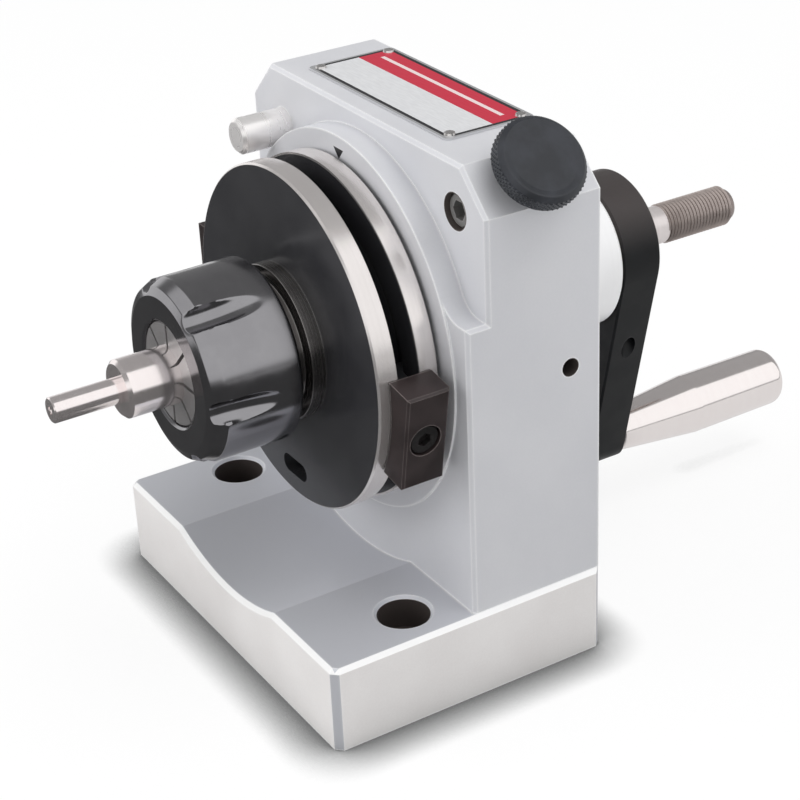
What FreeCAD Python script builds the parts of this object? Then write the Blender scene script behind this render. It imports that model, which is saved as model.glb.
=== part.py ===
import FreeCAD
import Part
import math
import os
import re

import Sketcher

# Punch former: a block with a spindle that carries a collet chuck in front and a crank behind.
# Millimetres. +Z is up, the spindle runs along Y and its nose points to -Y.
# The origin is the middle of the block's underside.

SIZES = {
    # Block
    "baseWidth": 100.0,
    "baseDepth": 71.0,
    "baseHeight": 21.0,
    "baseChamfer": 1.0,
    "cornerChamfer": 1.6,
    "uprightInset": 1.1,
    "backInset": 0.25,
    "spindleHeight": 74.2,
    "bossFace": 0.9,
    "bossProud": 0.5,
    "bossShoulder": 4.6,
    "slabDepth": 5.3,
    "ledgeRise": 16.1,
    "ledgeFillet": 7.0,
    "headRise": 4.1,
    "headChamfer": 9.0,
    "edgeChamfer": 0.8,
    "channelRadius": 57.8,
    "boltSpread": 77.6,
    "boltSetback": 24.7,
    "boltHoleRadius": 3.5,
    "counterboreRadius": 6.0,
    "counterboreDepth": 8.0,
    "counterboreChamfer": 0.75,
    # Fits
    "fixedFit": 0.02,
    "runFit": 0.05,
    "slideFit": 0.1,
    "looseFit": 0.3,
    "overshoot": 5.0,
    # Bearings of the spindle
    "bushRadius": 20.0,
    "bushLength": 12.1,
    "washerThickness": 1.4,
    "frontBoreDepth": 14.1,
    "sleeveRadius": 18.4,
    "sleeveWall": 4.4,
    "sleeveReach": 30.35,
    "sleeveGrip": 9.85,
    "rearBushLength": 14.0,
    # Spindle
    "journalRadius": 15.0,
    "waistRadius": 13.0,
    "waistLength": 32.0,
    "rearRadius": 10.0,
    "stockBore": 8.5,
    "stockBoreSetback": 3.0,
    "airBore": 3.5,
    "noseRadius": 16.0,
    "noseRecess": 6.9,
    "noseChamfer": 1.0,
    "undercutRadius": 15.0,
    "undercutLength": 1.4,
    "collarRadius": 18.0,
    "collarLength": 3.4,
    # Stop disc
    "discGap": 0.8,
    "discMargin": 4.4,
    "seatRadius": 17.0,
    "frontFlange": 4.9,
    "grooveWidth": 5.5,
    "rearFlange": 4.6,
    "rimDepth": 6.9,
    "undercutDepth": 4.5,
    "undercutSide": 1.8,
    "discChamfer": 0.4,
    "windowInset": 6.8,
    "windowHalf": 3.1,
    "windowEnd": 2.2,
    "keyWidth": 4.0,
    "keyHeight": 3.6,
    "keyLength": 11.0,
    # Stop dogs
    "dogRise": 6.1,
    "dogSkirt": 4.0,
    "dogHalf": 11.8,
    "dogWidth": 10.4,
    "dogShift": 0.2,
    "dogChamfer": 0.5,
    "dogRightAngle": -10.1,
    "dogLeftAngle": 180.3,
    "dogNutHalf": 8.0,
    "dogNutSink": 1.3,
    "dogScrewRadius": 2.0,
    "dogScrewClear": 0.9,
    "dogHeadRadius": 3.5,
    "dogHeadLength": 3.2,
    "dogHeadSink": 3.6,
    "dogHeadChamfer": 0.3,
    "dogHexFlats": 3.0,
    "dogHexDepth": 1.6,
    # Stop pin
    "pinReach": 12.7,
    "pinRadius": 4.25,
    "pinMargin": 9.3,
    "pinAngle": 134.5,
    "pinSink": 12.0,
    "pinChamfer": 0.8,
    # Collet, nut and punch
    "nutGap": 3.6,
    "nutLength": 22.2,
    "nutRadius": 21.0,
    "nutOpening": 12.1,
    "nutFaceRadius": 17.6,
    "nutBevelRadius": 19.6,
    "nutBevelDepth": 0.8,
    "nutBevelLength": 3.9,
    "nutRearChamfer": 0.8,
    "nutLip": 12.0,
    "nutLipLength": 2.0,
    "notchCount": 6.0,
    "notchAngle": 55.5,
    "notchCutter": 3.0,
    "notchDepth": 2.7,
    "notchLength": 17.5,
    "colletRecess": 0.6,
    "colletFaceRadius": 11.6,
    "colletRadius": 13.0,
    "colletCone": 2.42,
    "colletRim": 0.48,
    "colletGroove": 3.0,
    "colletGrooveRadius": 11.3,
    "colletShoulder": 12.9,
    "colletTail": 9.0,
    "colletLength": 34.0,
    "colletRoom": 1.0,
    "slotCount": 8.0,
    "slotWidth": 0.9,
    "slotLand": 6.0,
    "punchRadius": 6.6,
    "punchTail": 32.0,
    "punchStep": 11.9,
    "punchNose": 15.6,
    "punchNoseRadius": 2.9,
    "punchChamfer": 0.8,
    "punchTipChamfer": 0.3,
    "punchTailChamfer": 1.0,
    "centreRadius": 0.9,
    "centreDepth": 1.8,
    # Index plunger
    "plungerY": 20.3,
    "ringRadius": 18.0,
    "ringWidth": 9.0,
    "indexCount": 24.0,
    "indexDepth": 3.0,
    "indexWidth": 2.8,
    "tipRadius": 1.2,
    "tipLength": 4.2,
    "tipTaper": 1.0,
    "tipClear": 0.4,
    "barrelRadius": 6.0,
    "barrelFoot": 30.0,
    "barrelBore": 4.1,
    "barrelSink": 0.3,
    "footThickness": 6.0,
    "capThickness": 4.5,
    "guideRadius": 2.5,
    "shoulderRadius": 3.8,
    "shoulderLength": 3.0,
    "stemRadius": 2.0,
    "springMean": 3.0,
    "springWire": 0.4,
    "springPitch": 2.4,
    "knobRadius": 10.15,
    "knobLength": 5.4,
    "knobGap": 3.2,
    "knobChamfer": 0.6,
    "knobDepth": 3.6,
    # Grub screws
    "grubEase": 0.15,
    "lockRadius": 4.0,
    "lockLength": 6.5,
    "lockSink": 1.0,
    "lockFlats": 4.0,
    "lockSocket": 3.0,
    "lockSetback": 9.14,
    "sleeveScrewRadius": 2.1,
    "sleeveScrewLength": 10.0,
    "sleeveScrewY": 27.6,
    "smallFlats": 2.0,
    "smallSocket": 2.0,
    "ringScrewRadius": 1.5,
    "ringScrewLength": 4.0,
    "armScrewRadius": 2.0,
    "armScrewLength": 8.0,
    "armScrewAngle": 63.6,
    # Crank
    "armGap": 0.9,
    "armThickness": 10.9,
    "armHeadRadius": 17.0,
    "armEndRadius": 6.2,
    "armDrop": 54.8,
    "armLean": -2.0,
    "armChamfer": 0.5,
    "rearWasherThickness": 0.7,
    "rearWasherInset": 1.0,
    "handleGap": 0.3,
    "handleLength": 52.0,
    "handleRoot": 5.4,
    "handleBelly": 7.7,
    "handleTaper": 24.0,
    "handleEnd": 7.5,
    "handleRound": 2.4,
    "handleBoltRadius": 3.0,
    "handleBoltGrip": 9.0,
    "handleHeadRadius": 4.2,
    "handleHeadLength": 4.0,
    "handleHeadSink": 5.0,
    "handleFlats": 3.0,
    "studRadius": 5.0,
    "studGrip": 15.0,
    "studNeckRadius": 4.7,
    "studNeck": 12.6,
    "studThread": 21.0,
    "studChamfer": 1.2,
    # Nameplate
    "plateWidth": 58.0,
    "plateDepth": 22.5,
    "plateThickness": 0.5,
    "plateCorner": 1.2,
    "plateShift": -2.0,
    "plateBack": 0.75,
    "rivetInset": 2.2,
    "rivetHead": 1.3,
    "rivetRise": 0.6,
    "rivetEase": 0.3,
    "rivetShank": 0.7,
    "rivetGrip": 3.0,
}

# Stations along the spindle, from the boss face forwards and backwards
SLAB_FACE = "(bossFace + bossProud)"
HEAD_FACE = "(bossFace + bossProud + slabDepth)"
BACK_FACE = "(baseDepth / 2 - backInset)"
DISC_REAR = "(bossFace - discGap)"
GROOVE_REAR = "(bossFace - discGap - rearFlange)"
GROOVE_FRONT = "(bossFace - discGap - rearFlange - grooveWidth)"
DISC_FRONT = "(bossFace - discGap - rearFlange - grooveWidth - frontFlange)"
COLLAR_FRONT = "(" + DISC_FRONT + " - collarLength)"
NUT_REAR = "(" + COLLAR_FRONT + " - nutGap)"
NUT_FRONT = "(" + NUT_REAR + " - nutLength)"
NOSE_FRONT = "(" + NUT_FRONT + " + noseRecess)"
COLLET_FRONT = "(" + NUT_FRONT + " + colletRecess)"
COLLET_REAR = "(" + COLLET_FRONT + " + colletLength)"
BUSH_FRONT = "(" + DISC_REAR + " + looseFit + washerThickness + slideFit)"
BORE_STEP = "(bossFace + frontBoreDepth)"
RING_FRONT = "(plungerY - ringWidth / 2)"
SLEEVE_FRONT = "(" + BACK_FACE + " - sleeveGrip)"
SLEEVE_REAR = "(" + BACK_FACE + " + sleeveReach)"
ARM_FRONT = "(" + SLEEVE_REAR + " + armGap)"
ARM_REAR = "(" + ARM_FRONT + " + armThickness)"
BODY_HALF = "(baseWidth / 2 - uprightInset)"
BOSS_RADIUS = "(baseWidth / 2 - uprightInset - bossShoulder)"
DISC_RADIUS = "(baseWidth / 2 - uprightInset - bossShoulder - discMargin)"
RIM_FLOOR = "(" + DISC_RADIUS + " - rimDepth)"
GROOVE_FLOOR = "(" + RIM_FLOOR + " - undercutDepth)"
DOG_TOP = "(" + DISC_RADIUS + " + dogRise)"
BODY_HEIGHT = "(spindleHeight + " + BOSS_RADIUS + " + headRise)"
LEDGE_HEIGHT = "(spindleHeight + ledgeRise)"
SLEEVE_BORE = "(sleeveRadius - sleeveWall)"

# Stations along the plunger, measured outwards from the spindle's axis
CORNER_REACH = "((" + BODY_HALF + " + " + BOSS_RADIUS + " + headRise - headChamfer) / sqrt(2))"
LOCK_REACH = "(" + CORNER_REACH + " - lockSetback)"
TIP_REST = "(ringRadius + tipClear)"
KNOB_UNDER = "(" + CORNER_REACH + " + knobGap)"
KNOB_TOP = "(" + KNOB_UNDER + " + knobLength)"
BARREL_TOP = "(" + CORNER_REACH + " - barrelSink)"
SHOULDER_FOOT = "(barrelFoot + footThickness + knobGap)"
SHOULDER_TOP = "(" + SHOULDER_FOOT + " + shoulderLength)"

# Places closer than this count as the same
NEAR = 0.01

X_AXIS = FreeCAD.Vector(1, 0, 0)
Y_AXIS = FreeCAD.Vector(0, 1, 0)
Z_AXIS = FreeCAD.Vector(0, 0, 1)

doc = FreeCAD.newDocument("punch_former")
sheet = doc.addObject("Spreadsheet::Sheet", "Sizes")
for row, (alias, size) in enumerate(SIZES.items(), start=1):
    sheet.set("A%d" % row, alias)
    sheet.set("B%d" % row, str(size))
    sheet.setAlias("B%d" % row, alias)
doc.recompute()

nodes = []


def number(expression):
    """Works out an expression of the sheet's values as a plain number."""
    probe = doc.getObject("Probe") or doc.addObject("App::FeaturePython", "Probe")
    if "Value" not in probe.PropertiesList:
        probe.addProperty("App::PropertyFloat", "Value")
    probe.setExpression("Value", linked(expression))
    probe.recompute()
    return probe.Value


def linked(expression):
    """Names the sheet in front of every size that the expression uses."""
    def name(found):
        word = found.group(0)
        return "Sizes." + word if word in SIZES else word
    return re.sub(r"[A-Za-z]\w*", name, expression)


def keep(label, piece):
    """Makes the piece a node of its own, under the label."""
    piece.Label = label
    nodes.append(piece)
    return piece


def bound(piece, links):
    """Ties the piece's properties to expressions of the sheet."""
    for name, expression in links.items():
        piece.setExpression(name, linked(expression))
    return piece


# Frames


def spindle_frame(turn=0.0):
    """Local z runs along the spindle to the back, local x out at the turn and local y clockwise of it."""
    tilt = FreeCAD.Rotation(X_AXIS, -90)
    spin = FreeCAD.Rotation(Z_AXIS, -turn)
    return FreeCAD.Placement(FreeCAD.Vector(0, 0, number("spindleHeight")), tilt * spin)


def radial_frame(turn, station):
    """Local z points straight out of the spindle's axis at the turn, and the origin is on the axis."""
    spot = FreeCAD.Vector(0, station, number("spindleHeight"))
    return FreeCAD.Placement(spot, FreeCAD.Rotation(Y_AXIS, 90 - turn))


def moved(placement, x=0.0, y=0.0, z=0.0):
    """The same frame with its origin shifted in its own directions."""
    return placement * FreeCAD.Placement(FreeCAD.Vector(x, y, z), FreeCAD.Rotation())


# Sketches and solids


def plane_of(body, role):
    """The body's own origin plane with that role."""
    return next(plane for plane in body.Origin.OriginFeatures if plane.Role == role)


def sketch_on(body, role, name, offset=None):
    """An empty sketch on one of the body's origin planes."""
    sketch = body.newObject("Sketcher::SketchObject", name)
    sketch.AttachmentSupport = [(plane_of(body, role), "")]
    sketch.MapMode = "FlatFace"
    if offset:
        bound(sketch, {"AttachmentOffset.Base.z": offset})
    return sketch


def outline(sketch, corners):
    """A closed outline of straight lines, each corner tied to two expressions."""
    count = len(corners)
    spots = []
    for across, along in corners:
        spots.append(FreeCAD.Vector(number(across), number(along), 0))
    for index in range(count):
        sketch.addGeometry(Part.LineSegment(spots[index], spots[(index + 1) % count]), False)
    for index in range(count):
        sketch.addConstraint(Sketcher.Constraint("Coincident", index, 2, (index + 1) % count, 1))
    for index, corner in enumerate(corners):
        for kind, expression, start in zip(("DistanceX", "DistanceY"), corner, spots[index]):
            place = sketch.addConstraint(Sketcher.Constraint(kind, -1, 1, index, 1, start))
            bound(sketch, {"Constraints[%d]" % place: expression})


def circle(sketch, radius, across="0", along="0"):
    """A circle with its radius and centre tied to expressions."""
    centre = FreeCAD.Vector(number(across), number(along), 0)
    item = sketch.addGeometry(Part.Circle(centre, Z_AXIS, number(radius)), False)
    place = sketch.addConstraint(Sketcher.Constraint("Radius", item, number(radius)))
    bound(sketch, {"Constraints[%d]" % place: radius})
    for kind, expression, start in (("DistanceX", across, centre.x), ("DistanceY", along, centre.y)):
        place = sketch.addConstraint(Sketcher.Constraint(kind, -1, 1, item, 3, start))
        bound(sketch, {"Constraints[%d]" % place: expression})


def extruded(body, kind, name, sketch, length, backwards=False):
    """A pad or pocket of the sketch with a bound length."""
    feature = body.newObject("PartDesign::" + kind, name)
    feature.Profile = sketch
    feature.Reversed = backwards
    bound(feature, {"Length": length})
    doc.recompute()
    return feature


def turned(name, corners, placement):
    """A solid turned about its local z, from corners given as radius and station."""
    body = doc.addObject("PartDesign::Body", name)
    sketch = sketch_on(body, "XZ_Plane", name + "Profile")
    outline(sketch, corners)
    spin = body.newObject("PartDesign::Revolution", name + "Turn")
    spin.Profile = sketch
    spin.ReferenceAxis = (sketch, ["V_Axis"])
    spin.Angle = 360
    doc.recompute()
    body.Placement = placement
    return body


def edges_where(body, test):
    """Names of the edges of the body's last feature that pass the test."""
    edges = body.Tip.Shape.Edges
    return ["Edge%d" % (index + 1) for index, edge in enumerate(edges) if test(edge)]


def eased(body, kind, name, size, test):
    """Fillets or chamfers the edges that pass the test."""
    picked = edges_where(body, test)
    base = body.Tip
    feature = body.newObject("PartDesign::" + kind, name)
    feature.Base = (base, picked)
    bound(feature, {"Radius" if kind == "Fillet" else "Size": size})
    doc.recompute()
    return feature


def rod(name, radius, length, placement):
    """A plain round bar along its local z."""
    bar = doc.addObject("Part::Cylinder", name)
    bound(bar, {"Radius": radius, "Height": length})
    bar.Placement = placement
    return bar


def block(name, length, width, height, placement):
    """A rectangular bar with one corner at its frame's origin."""
    bar = doc.addObject("Part::Box", name)
    bound(bar, {"Length": length, "Width": width, "Height": height})
    bar.Placement = placement
    return bar


def hexagon(name, flats, height, placement):
    """A hexagonal bar along its local z."""
    bar = doc.addObject("Part::Prism", name)
    bar.Polygon = 6
    bound(bar, {"Circumradius": flats + " / sqrt(3)", "Height": height})
    bar.Placement = placement
    return bar


def joined(name, pieces):
    """Several solids as one tool."""
    whole = doc.addObject("Part::MultiFuse", name)
    whole.Shapes = pieces
    return whole


def cut(name, base, tools):
    """The base less its tools."""
    result = doc.addObject("Part::Cut", name)
    result.Base = base
    result.Tool = tools[0] if len(tools) == 1 else joined(name + "Tools", tools)
    doc.recompute()
    return result


def overlap(name, first, second):
    """What two solids share."""
    result = doc.addObject("Part::Common", name)
    result.Base = first
    result.Tool = second
    doc.recompute()
    return result


def grub_screw(label, radius, length, flats, socket, frame):
    """A set screw whose socket end is at its frame's origin and which runs down local z."""
    ease = radius + " * grubEase"
    shank = turned(label + "Blank", [
        ("0", "-(" + length + ")"), (radius + " - " + ease, "-(" + length + ")"),
        (radius, "-(" + length + ") + " + ease), (radius, "-(" + ease + ")"),
        (radius + " - " + ease, "0"), ("0", "0")], frame)
    socket_tool = hexagon(label + "Socket", flats, socket + " + overshoot", moved(frame, z=-number(socket)))
    return keep(label, cut(label + "Screw", shank, [socket_tool]))


# Body


def make_body():
    body = doc.addObject("PartDesign::Body", "bodyBlank")
    half, deep = "baseWidth / 2", "baseDepth / 2"

    base = sketch_on(body, "XY_Plane", "baseOutline")
    outline(base, [("-(" + half + ")", "-(" + deep + ")"), (half, "-(" + deep + ")"),
                   (half, deep), ("-(" + half + ")", deep)])
    extruded(body, "Pad", "basePad", base, "baseHeight")

    # The channel gives the disc and its dogs room, so it is round about the spindle
    channel = sketch_on(body, "XZ_Plane", "channelCircle", deep)
    circle(channel, "channelRadius", "0", "spindleHeight")
    extruded(body, "Pocket", "channelPocket", channel, deep + " + " + SLAB_FACE)

    side, front, top = number(half), -number(deep), number("baseHeight")

    def corner_edge(edge):
        box = edge.BoundBox
        return box.ZMin < NEAR and box.ZLength > top / 2 and abs(abs(box.XMax) - side) < NEAR
    eased(body, "Chamfer", "baseCorners", "cornerChamfer", corner_edge)

    def base_edge(edge):
        box = edge.BoundBox
        high = box.ZMin > top - NEAR
        sides = high and box.XLength < NEAR and abs(abs(box.XMax) - side) < NEAR
        fore = box.YLength < NEAR and abs(box.YMin - front) < NEAR and box.ZMin > NEAR
        mitre = high and box.XLength > NEAR and box.YLength > NEAR and box.YMax < 0
        return sides or fore or mitre
    eased(body, "Chamfer", "baseEdges", "baseChamfer", base_edge)

    head = sketch_on(body, "XZ_Plane", "headOutline", "-" + HEAD_FACE)
    wide = BODY_HALF
    outline(head, [
        ("-" + wide, "baseHeight"), (wide, "baseHeight"), (wide, BODY_HEIGHT + " - headChamfer"),
        (wide + " - headChamfer", BODY_HEIGHT), ("-(" + wide + " - headChamfer)", BODY_HEIGHT),
        ("-" + wide, BODY_HEIGHT + " - headChamfer")])
    extruded(body, "Pad", "headPad", head, BACK_FACE + " - " + HEAD_FACE, backwards=True)

    face = number(HEAD_FACE)

    def head_edge(edge):
        box = edge.BoundBox
        return box.YLength < NEAR and abs(box.YMin - face) < NEAR and box.ZMax > top + NEAR
    eased(body, "Chamfer", "headEdges", "edgeChamfer", head_edge)

    slab = sketch_on(body, "XZ_Plane", "slabOutline", "-" + SLAB_FACE)
    outline(slab, [("-" + wide, "baseHeight"), (wide, "baseHeight"),
                   (wide, LEDGE_HEIGHT), ("-" + wide, LEDGE_HEIGHT)])
    extruded(body, "Pad", "slabPad", slab, BACK_FACE + " - " + SLAB_FACE, backwards=True)

    slab_face, ledge, slab_side = number(SLAB_FACE), number(LEDGE_HEIGHT), number(BODY_HALF)

    def slab_edge(edge):
        box = edge.BoundBox
        at_side = box.XLength < NEAR and abs(abs(box.XMax) - slab_side) < NEAR
        upright = abs(box.YMin - slab_face) < NEAR and box.YLength < NEAR and box.ZLength > NEAR
        ledge_side = abs(box.ZMin - ledge) < NEAR and box.ZLength < NEAR and box.YMin < face - NEAR
        return at_side and (upright or ledge_side)
    eased(body, "Chamfer", "slabEdges", "edgeChamfer", slab_edge)

    boss = sketch_on(body, "XZ_Plane", "bossCircle", "-bossFace")
    circle(boss, BOSS_RADIUS, "0", "spindleHeight")
    extruded(body, "Pad", "bossPad", boss, HEAD_FACE + " - bossFace + edgeChamfer", backwards=True)

    def ledge_corner(edge):
        box = edge.BoundBox
        flat = box.XLength < NEAR and box.ZLength < NEAR and box.YLength > NEAR
        return flat and abs(box.ZMin - ledge) < NEAR and abs(box.XMax) < number(BOSS_RADIUS)
    eased(body, "Fillet", "ledgeCoves", "ledgeFillet", ledge_corner)
    return body


def make_body_holes(blank):
    spindle = spindle_frame()
    tools = [
        rod("frontBore", "bushRadius + fixedFit", BORE_STEP + " + overshoot - bossFace",
            moved(spindle, z=number("bossFace - overshoot"))),
        rod("rearBore", "sleeveRadius + fixedFit", BACK_FACE + " + overshoot - " + BORE_STEP,
            moved(spindle, z=number(BORE_STEP))),
        rod("plungerBore", "barrelRadius + fixedFit", CORNER_REACH + " + 2 * overshoot - sleeveRadius",
            moved(radial_frame(45, number("plungerY")), z=number("sleeveRadius - overshoot"))),
        rod("lockBore", "lockRadius + fixedFit", "plungerY - " + HEAD_FACE + " + overshoot",
            lock_frame(-number("overshoot"))),
        rod("sleeveScrewBore", "sleeveScrewRadius + fixedFit", BODY_HALF,
            moved(radial_frame(0, number("sleeveScrewY")), z=number("sleeveRadius - overshoot"))),
        rod("stopPinBore", "pinRadius + fixedFit", "overshoot + pinSink + looseFit",
            moved(pin_frame(), z=number(HEAD_FACE + " - overshoot"))),
    ]
    for hand, side in (("Left", -1), ("Right", 1)):
        x = side * number("boltSpread") / 2
        y = number("boltSetback - baseDepth / 2")
        spot = FreeCAD.Placement(FreeCAD.Vector(x, y, 0), FreeCAD.Rotation())
        sink = number("baseHeight - counterboreDepth")
        rim = number("baseHeight - counterboreChamfer")
        ease = doc.addObject("Part::Cone", "boltRim" + hand)
        bound(ease, {"Radius1": "counterboreRadius", "Height": "2 * counterboreChamfer",
                     "Radius2": "counterboreRadius + 2 * counterboreChamfer"})
        ease.Placement = moved(spot, z=rim)
        tools.append(rod("boltHole" + hand, "boltHoleRadius", "baseHeight",
                         moved(spot, z=-number("overshoot"))))
        tools.append(rod("boltSink" + hand, "counterboreRadius", "counterboreDepth + overshoot",
                         moved(spot, z=sink)))
        tools.append(ease)
    for index, spot in enumerate(rivet_spots()):
        hole = moved(spot, z=-number("rivetGrip + plateThickness"))
        tools.append(rod("rivetHole%d" % index, "rivetShank + fixedFit", "rivetGrip + overshoot", hole))
    keep("body", cut("bodyDrilled", blank, tools))


def pin_frame():
    """Local z runs along the stop pin to the back."""
    return moved(spindle_frame(number("pinAngle")), x=number(DISC_RADIUS + " + pinMargin"))


def lock_frame(setback):
    """Local z runs into the head, across the plunger barrel's axis."""
    reach = number(LOCK_REACH + " / sqrt(2)")
    return moved(spindle_frame(), x=reach, y=-reach, z=number(HEAD_FACE) + setback)


# Nameplate


def plate_middle():
    """The middle of the nameplate's underside, on top of the head."""
    y = number(BACK_FACE + " - plateBack - plateDepth / 2")
    spot = FreeCAD.Vector(number("plateShift"), y, number(BODY_HEIGHT))
    return FreeCAD.Placement(spot, FreeCAD.Rotation())


def rivet_spots():
    """Frames on top of the nameplate, one at each corner."""
    reach_x = number("plateWidth / 2 - rivetInset")
    reach_y = number("plateDepth / 2 - rivetInset")
    rise = number("plateThickness")
    corners = [(-1, -1), (1, -1), (1, 1), (-1, 1)]
    return [moved(plate_middle(), x=a * reach_x, y=b * reach_y, z=rise) for a, b in corners]


def make_nameplate():
    body = doc.addObject("PartDesign::Body", "plateBlank")
    sheet_outline = sketch_on(body, "XY_Plane", "plateOutline")
    wide, deep = "plateWidth / 2", "plateDepth / 2"
    outline(sheet_outline, [("-(" + wide + ")", "-(" + deep + ")"), (wide, "-(" + deep + ")"),
                            (wide, deep), ("-(" + wide + ")", deep)])
    extruded(body, "Pad", "platePad", sheet_outline, "plateThickness")
    eased(body, "Fillet", "plateCorners", "plateCorner",
          lambda edge: edge.BoundBox.XLength < NEAR and edge.BoundBox.YLength < NEAR)
    body.Placement = plate_middle()
    holes = []
    rivets = []
    for index, spot in enumerate(rivet_spots()):
        down = moved(spot, z=-number("plateThickness + overshoot"))
        holes.append(rod("plateHole%d" % index, "rivetShank + fixedFit", "2 * overshoot", down))
        rivets.append(turned("rivet%d" % index, [
            ("0", "-(rivetGrip)"), ("rivetShank", "-(rivetGrip)"), ("rivetShank", "0"),
            ("rivetHead", "0"), ("rivetHead - rivetEase / 2", "rivetRise - rivetEase / 2"),
            ("rivetHead - 2 * rivetEase", "rivetRise"), ("0", "rivetRise")], spot))
    keep("nameplate", cut("plateDrilled", body, holes))
    group = doc.addObject("Part::Compound", "rivetGroup")
    group.Links = rivets
    keep("nameplate_rivets", group)


# Bearings


def make_bearings():
    line = spindle_frame()
    washer = DISC_REAR + " + looseFit"
    keep("thrust_washer", turned("thrustWasher", [
        ("journalRadius + looseFit", washer), ("bushRadius - slideFit", washer),
        ("bushRadius - slideFit", washer + " + washerThickness"),
        ("journalRadius + looseFit", washer + " + washerThickness")], line))
    bush_rear = BUSH_FRONT + " + bushLength"
    keep("front_bush", turned("frontBush", [
        ("journalRadius + runFit", BUSH_FRONT), ("bushRadius", BUSH_FRONT),
        ("bushRadius", bush_rear), ("journalRadius + runFit", bush_rear)], line))
    ease = "edgeChamfer"
    keep("rear_sleeve", turned("rearSleeve", [
        (SLEEVE_BORE, SLEEVE_FRONT), ("sleeveRadius - " + ease, SLEEVE_FRONT),
        ("sleeveRadius", SLEEVE_FRONT + " + " + ease), ("sleeveRadius", SLEEVE_REAR + " - " + ease),
        ("sleeveRadius - " + ease, SLEEVE_REAR), (SLEEVE_BORE, SLEEVE_REAR)], line))
    rear_front = SLEEVE_REAR + " - rearBushLength"
    keep("rear_bush", turned("rearBush", [
        ("rearRadius + runFit", rear_front), (SLEEVE_BORE + " - fixedFit", rear_front),
        (SLEEVE_BORE + " - fixedFit", SLEEVE_REAR), ("rearRadius + runFit", SLEEVE_REAR)], line))
    gap = SLEEVE_REAR + " + slideFit"
    keep("rear_washer", turned("rearWasher", [
        ("rearRadius + looseFit", gap), ("armHeadRadius - rearWasherInset", gap),
        ("armHeadRadius - rearWasherInset", gap + " + rearWasherThickness"),
        ("rearRadius + looseFit", gap + " + rearWasherThickness")], line))
    socket = moved(radial_frame(0, number("sleeveScrewY")),
                   z=number("sleeveRadius + fixedFit + sleeveScrewLength"))
    grub_screw("sleeve_set_screw", "sleeveScrewRadius", "sleeveScrewLength", "smallFlats",
               "smallSocket", socket)


def make_stop_pin():
    reach = HEAD_FACE + " - pinReach"
    foot = HEAD_FACE + " + pinSink"
    keep("stop_pin", turned("stopPin", [
        ("0", reach), ("pinRadius - pinChamfer", reach), ("pinRadius", reach + " + pinChamfer"),
        ("pinRadius", foot), ("0", foot)], pin_frame()))


# Spindle


def make_spindle():
    line = spindle_frame()
    waist_front = RING_FRONT + " - looseFit"
    waist_rear = waist_front + " + waistLength"
    bore_rear = waist_rear + " - stockBoreSetback"
    stud_foot = ARM_REAR + " - studGrip - looseFit"
    taper_gap = "slideFit"
    blank = turned("spindleBlank", [
        ("colletShoulder + " + taper_gap, NOSE_FRONT), ("noseRadius - noseChamfer", NOSE_FRONT),
        ("noseRadius", NOSE_FRONT + " + noseChamfer"),
        ("noseRadius", COLLAR_FRONT + " - undercutLength"),
        ("undercutRadius", COLLAR_FRONT + " - undercutLength"), ("undercutRadius", COLLAR_FRONT),
        ("collarRadius", COLLAR_FRONT), ("collarRadius", DISC_FRONT), ("seatRadius", DISC_FRONT),
        ("seatRadius", DISC_REAR), ("journalRadius", DISC_REAR), ("journalRadius", waist_front),
        ("waistRadius", waist_front), ("waistRadius", waist_rear), ("rearRadius", waist_rear),
        ("rearRadius", ARM_REAR), ("studRadius + fixedFit", ARM_REAR),
        ("studRadius + fixedFit", stud_foot), ("airBore", stud_foot), ("airBore", bore_rear),
        ("stockBore", bore_rear), ("stockBore", COLLET_REAR + " + colletRoom"),
        ("colletTail + " + taper_gap, COLLET_REAR + " + colletRoom")], line)
    keep("spindle", cut("spindleKeyed", blank, [key_seat("spindleKeySeat", "keyWidth / 2 + fixedFit")]))

    half = "keyWidth / 2"
    keep("disc_key", block("discKey", "keyHeight", "keyWidth", "keyLength", moved(
        spindle_frame(90), x=number("seatRadius - keyHeight / 2"), y=-number(half),
        z=number(DISC_REAR + " - discChamfer - keyLength"))))

    thread = ARM_REAR + " + studNeck"
    tip = thread + " + studThread"
    keep("rear_stud", turned("rearStud", [
        ("0", ARM_REAR + " - studGrip"), ("studRadius", ARM_REAR + " - studGrip"),
        ("studRadius", ARM_REAR), ("studNeckRadius", ARM_REAR), ("studNeckRadius", thread),
        ("studRadius", thread + " + studRadius - studNeckRadius"), ("studRadius", tip + " - studChamfer"),
        ("studRadius - studChamfer", tip), ("0", tip)], line))


def key_seat(name, half):
    """The slot for the key, cut alike in the spindle and in the disc, and open at the disc's rear."""
    frame = moved(spindle_frame(90), x=number("seatRadius - keyHeight / 2 - fixedFit"), y=-number(half),
                  z=number(DISC_REAR + " - discChamfer - keyLength - fixedFit"))
    return block(name, "keyHeight + 2 * fixedFit", half + " + " + half,
                 "keyLength + discChamfer + fixedFit", frame)


# Stop disc


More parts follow.
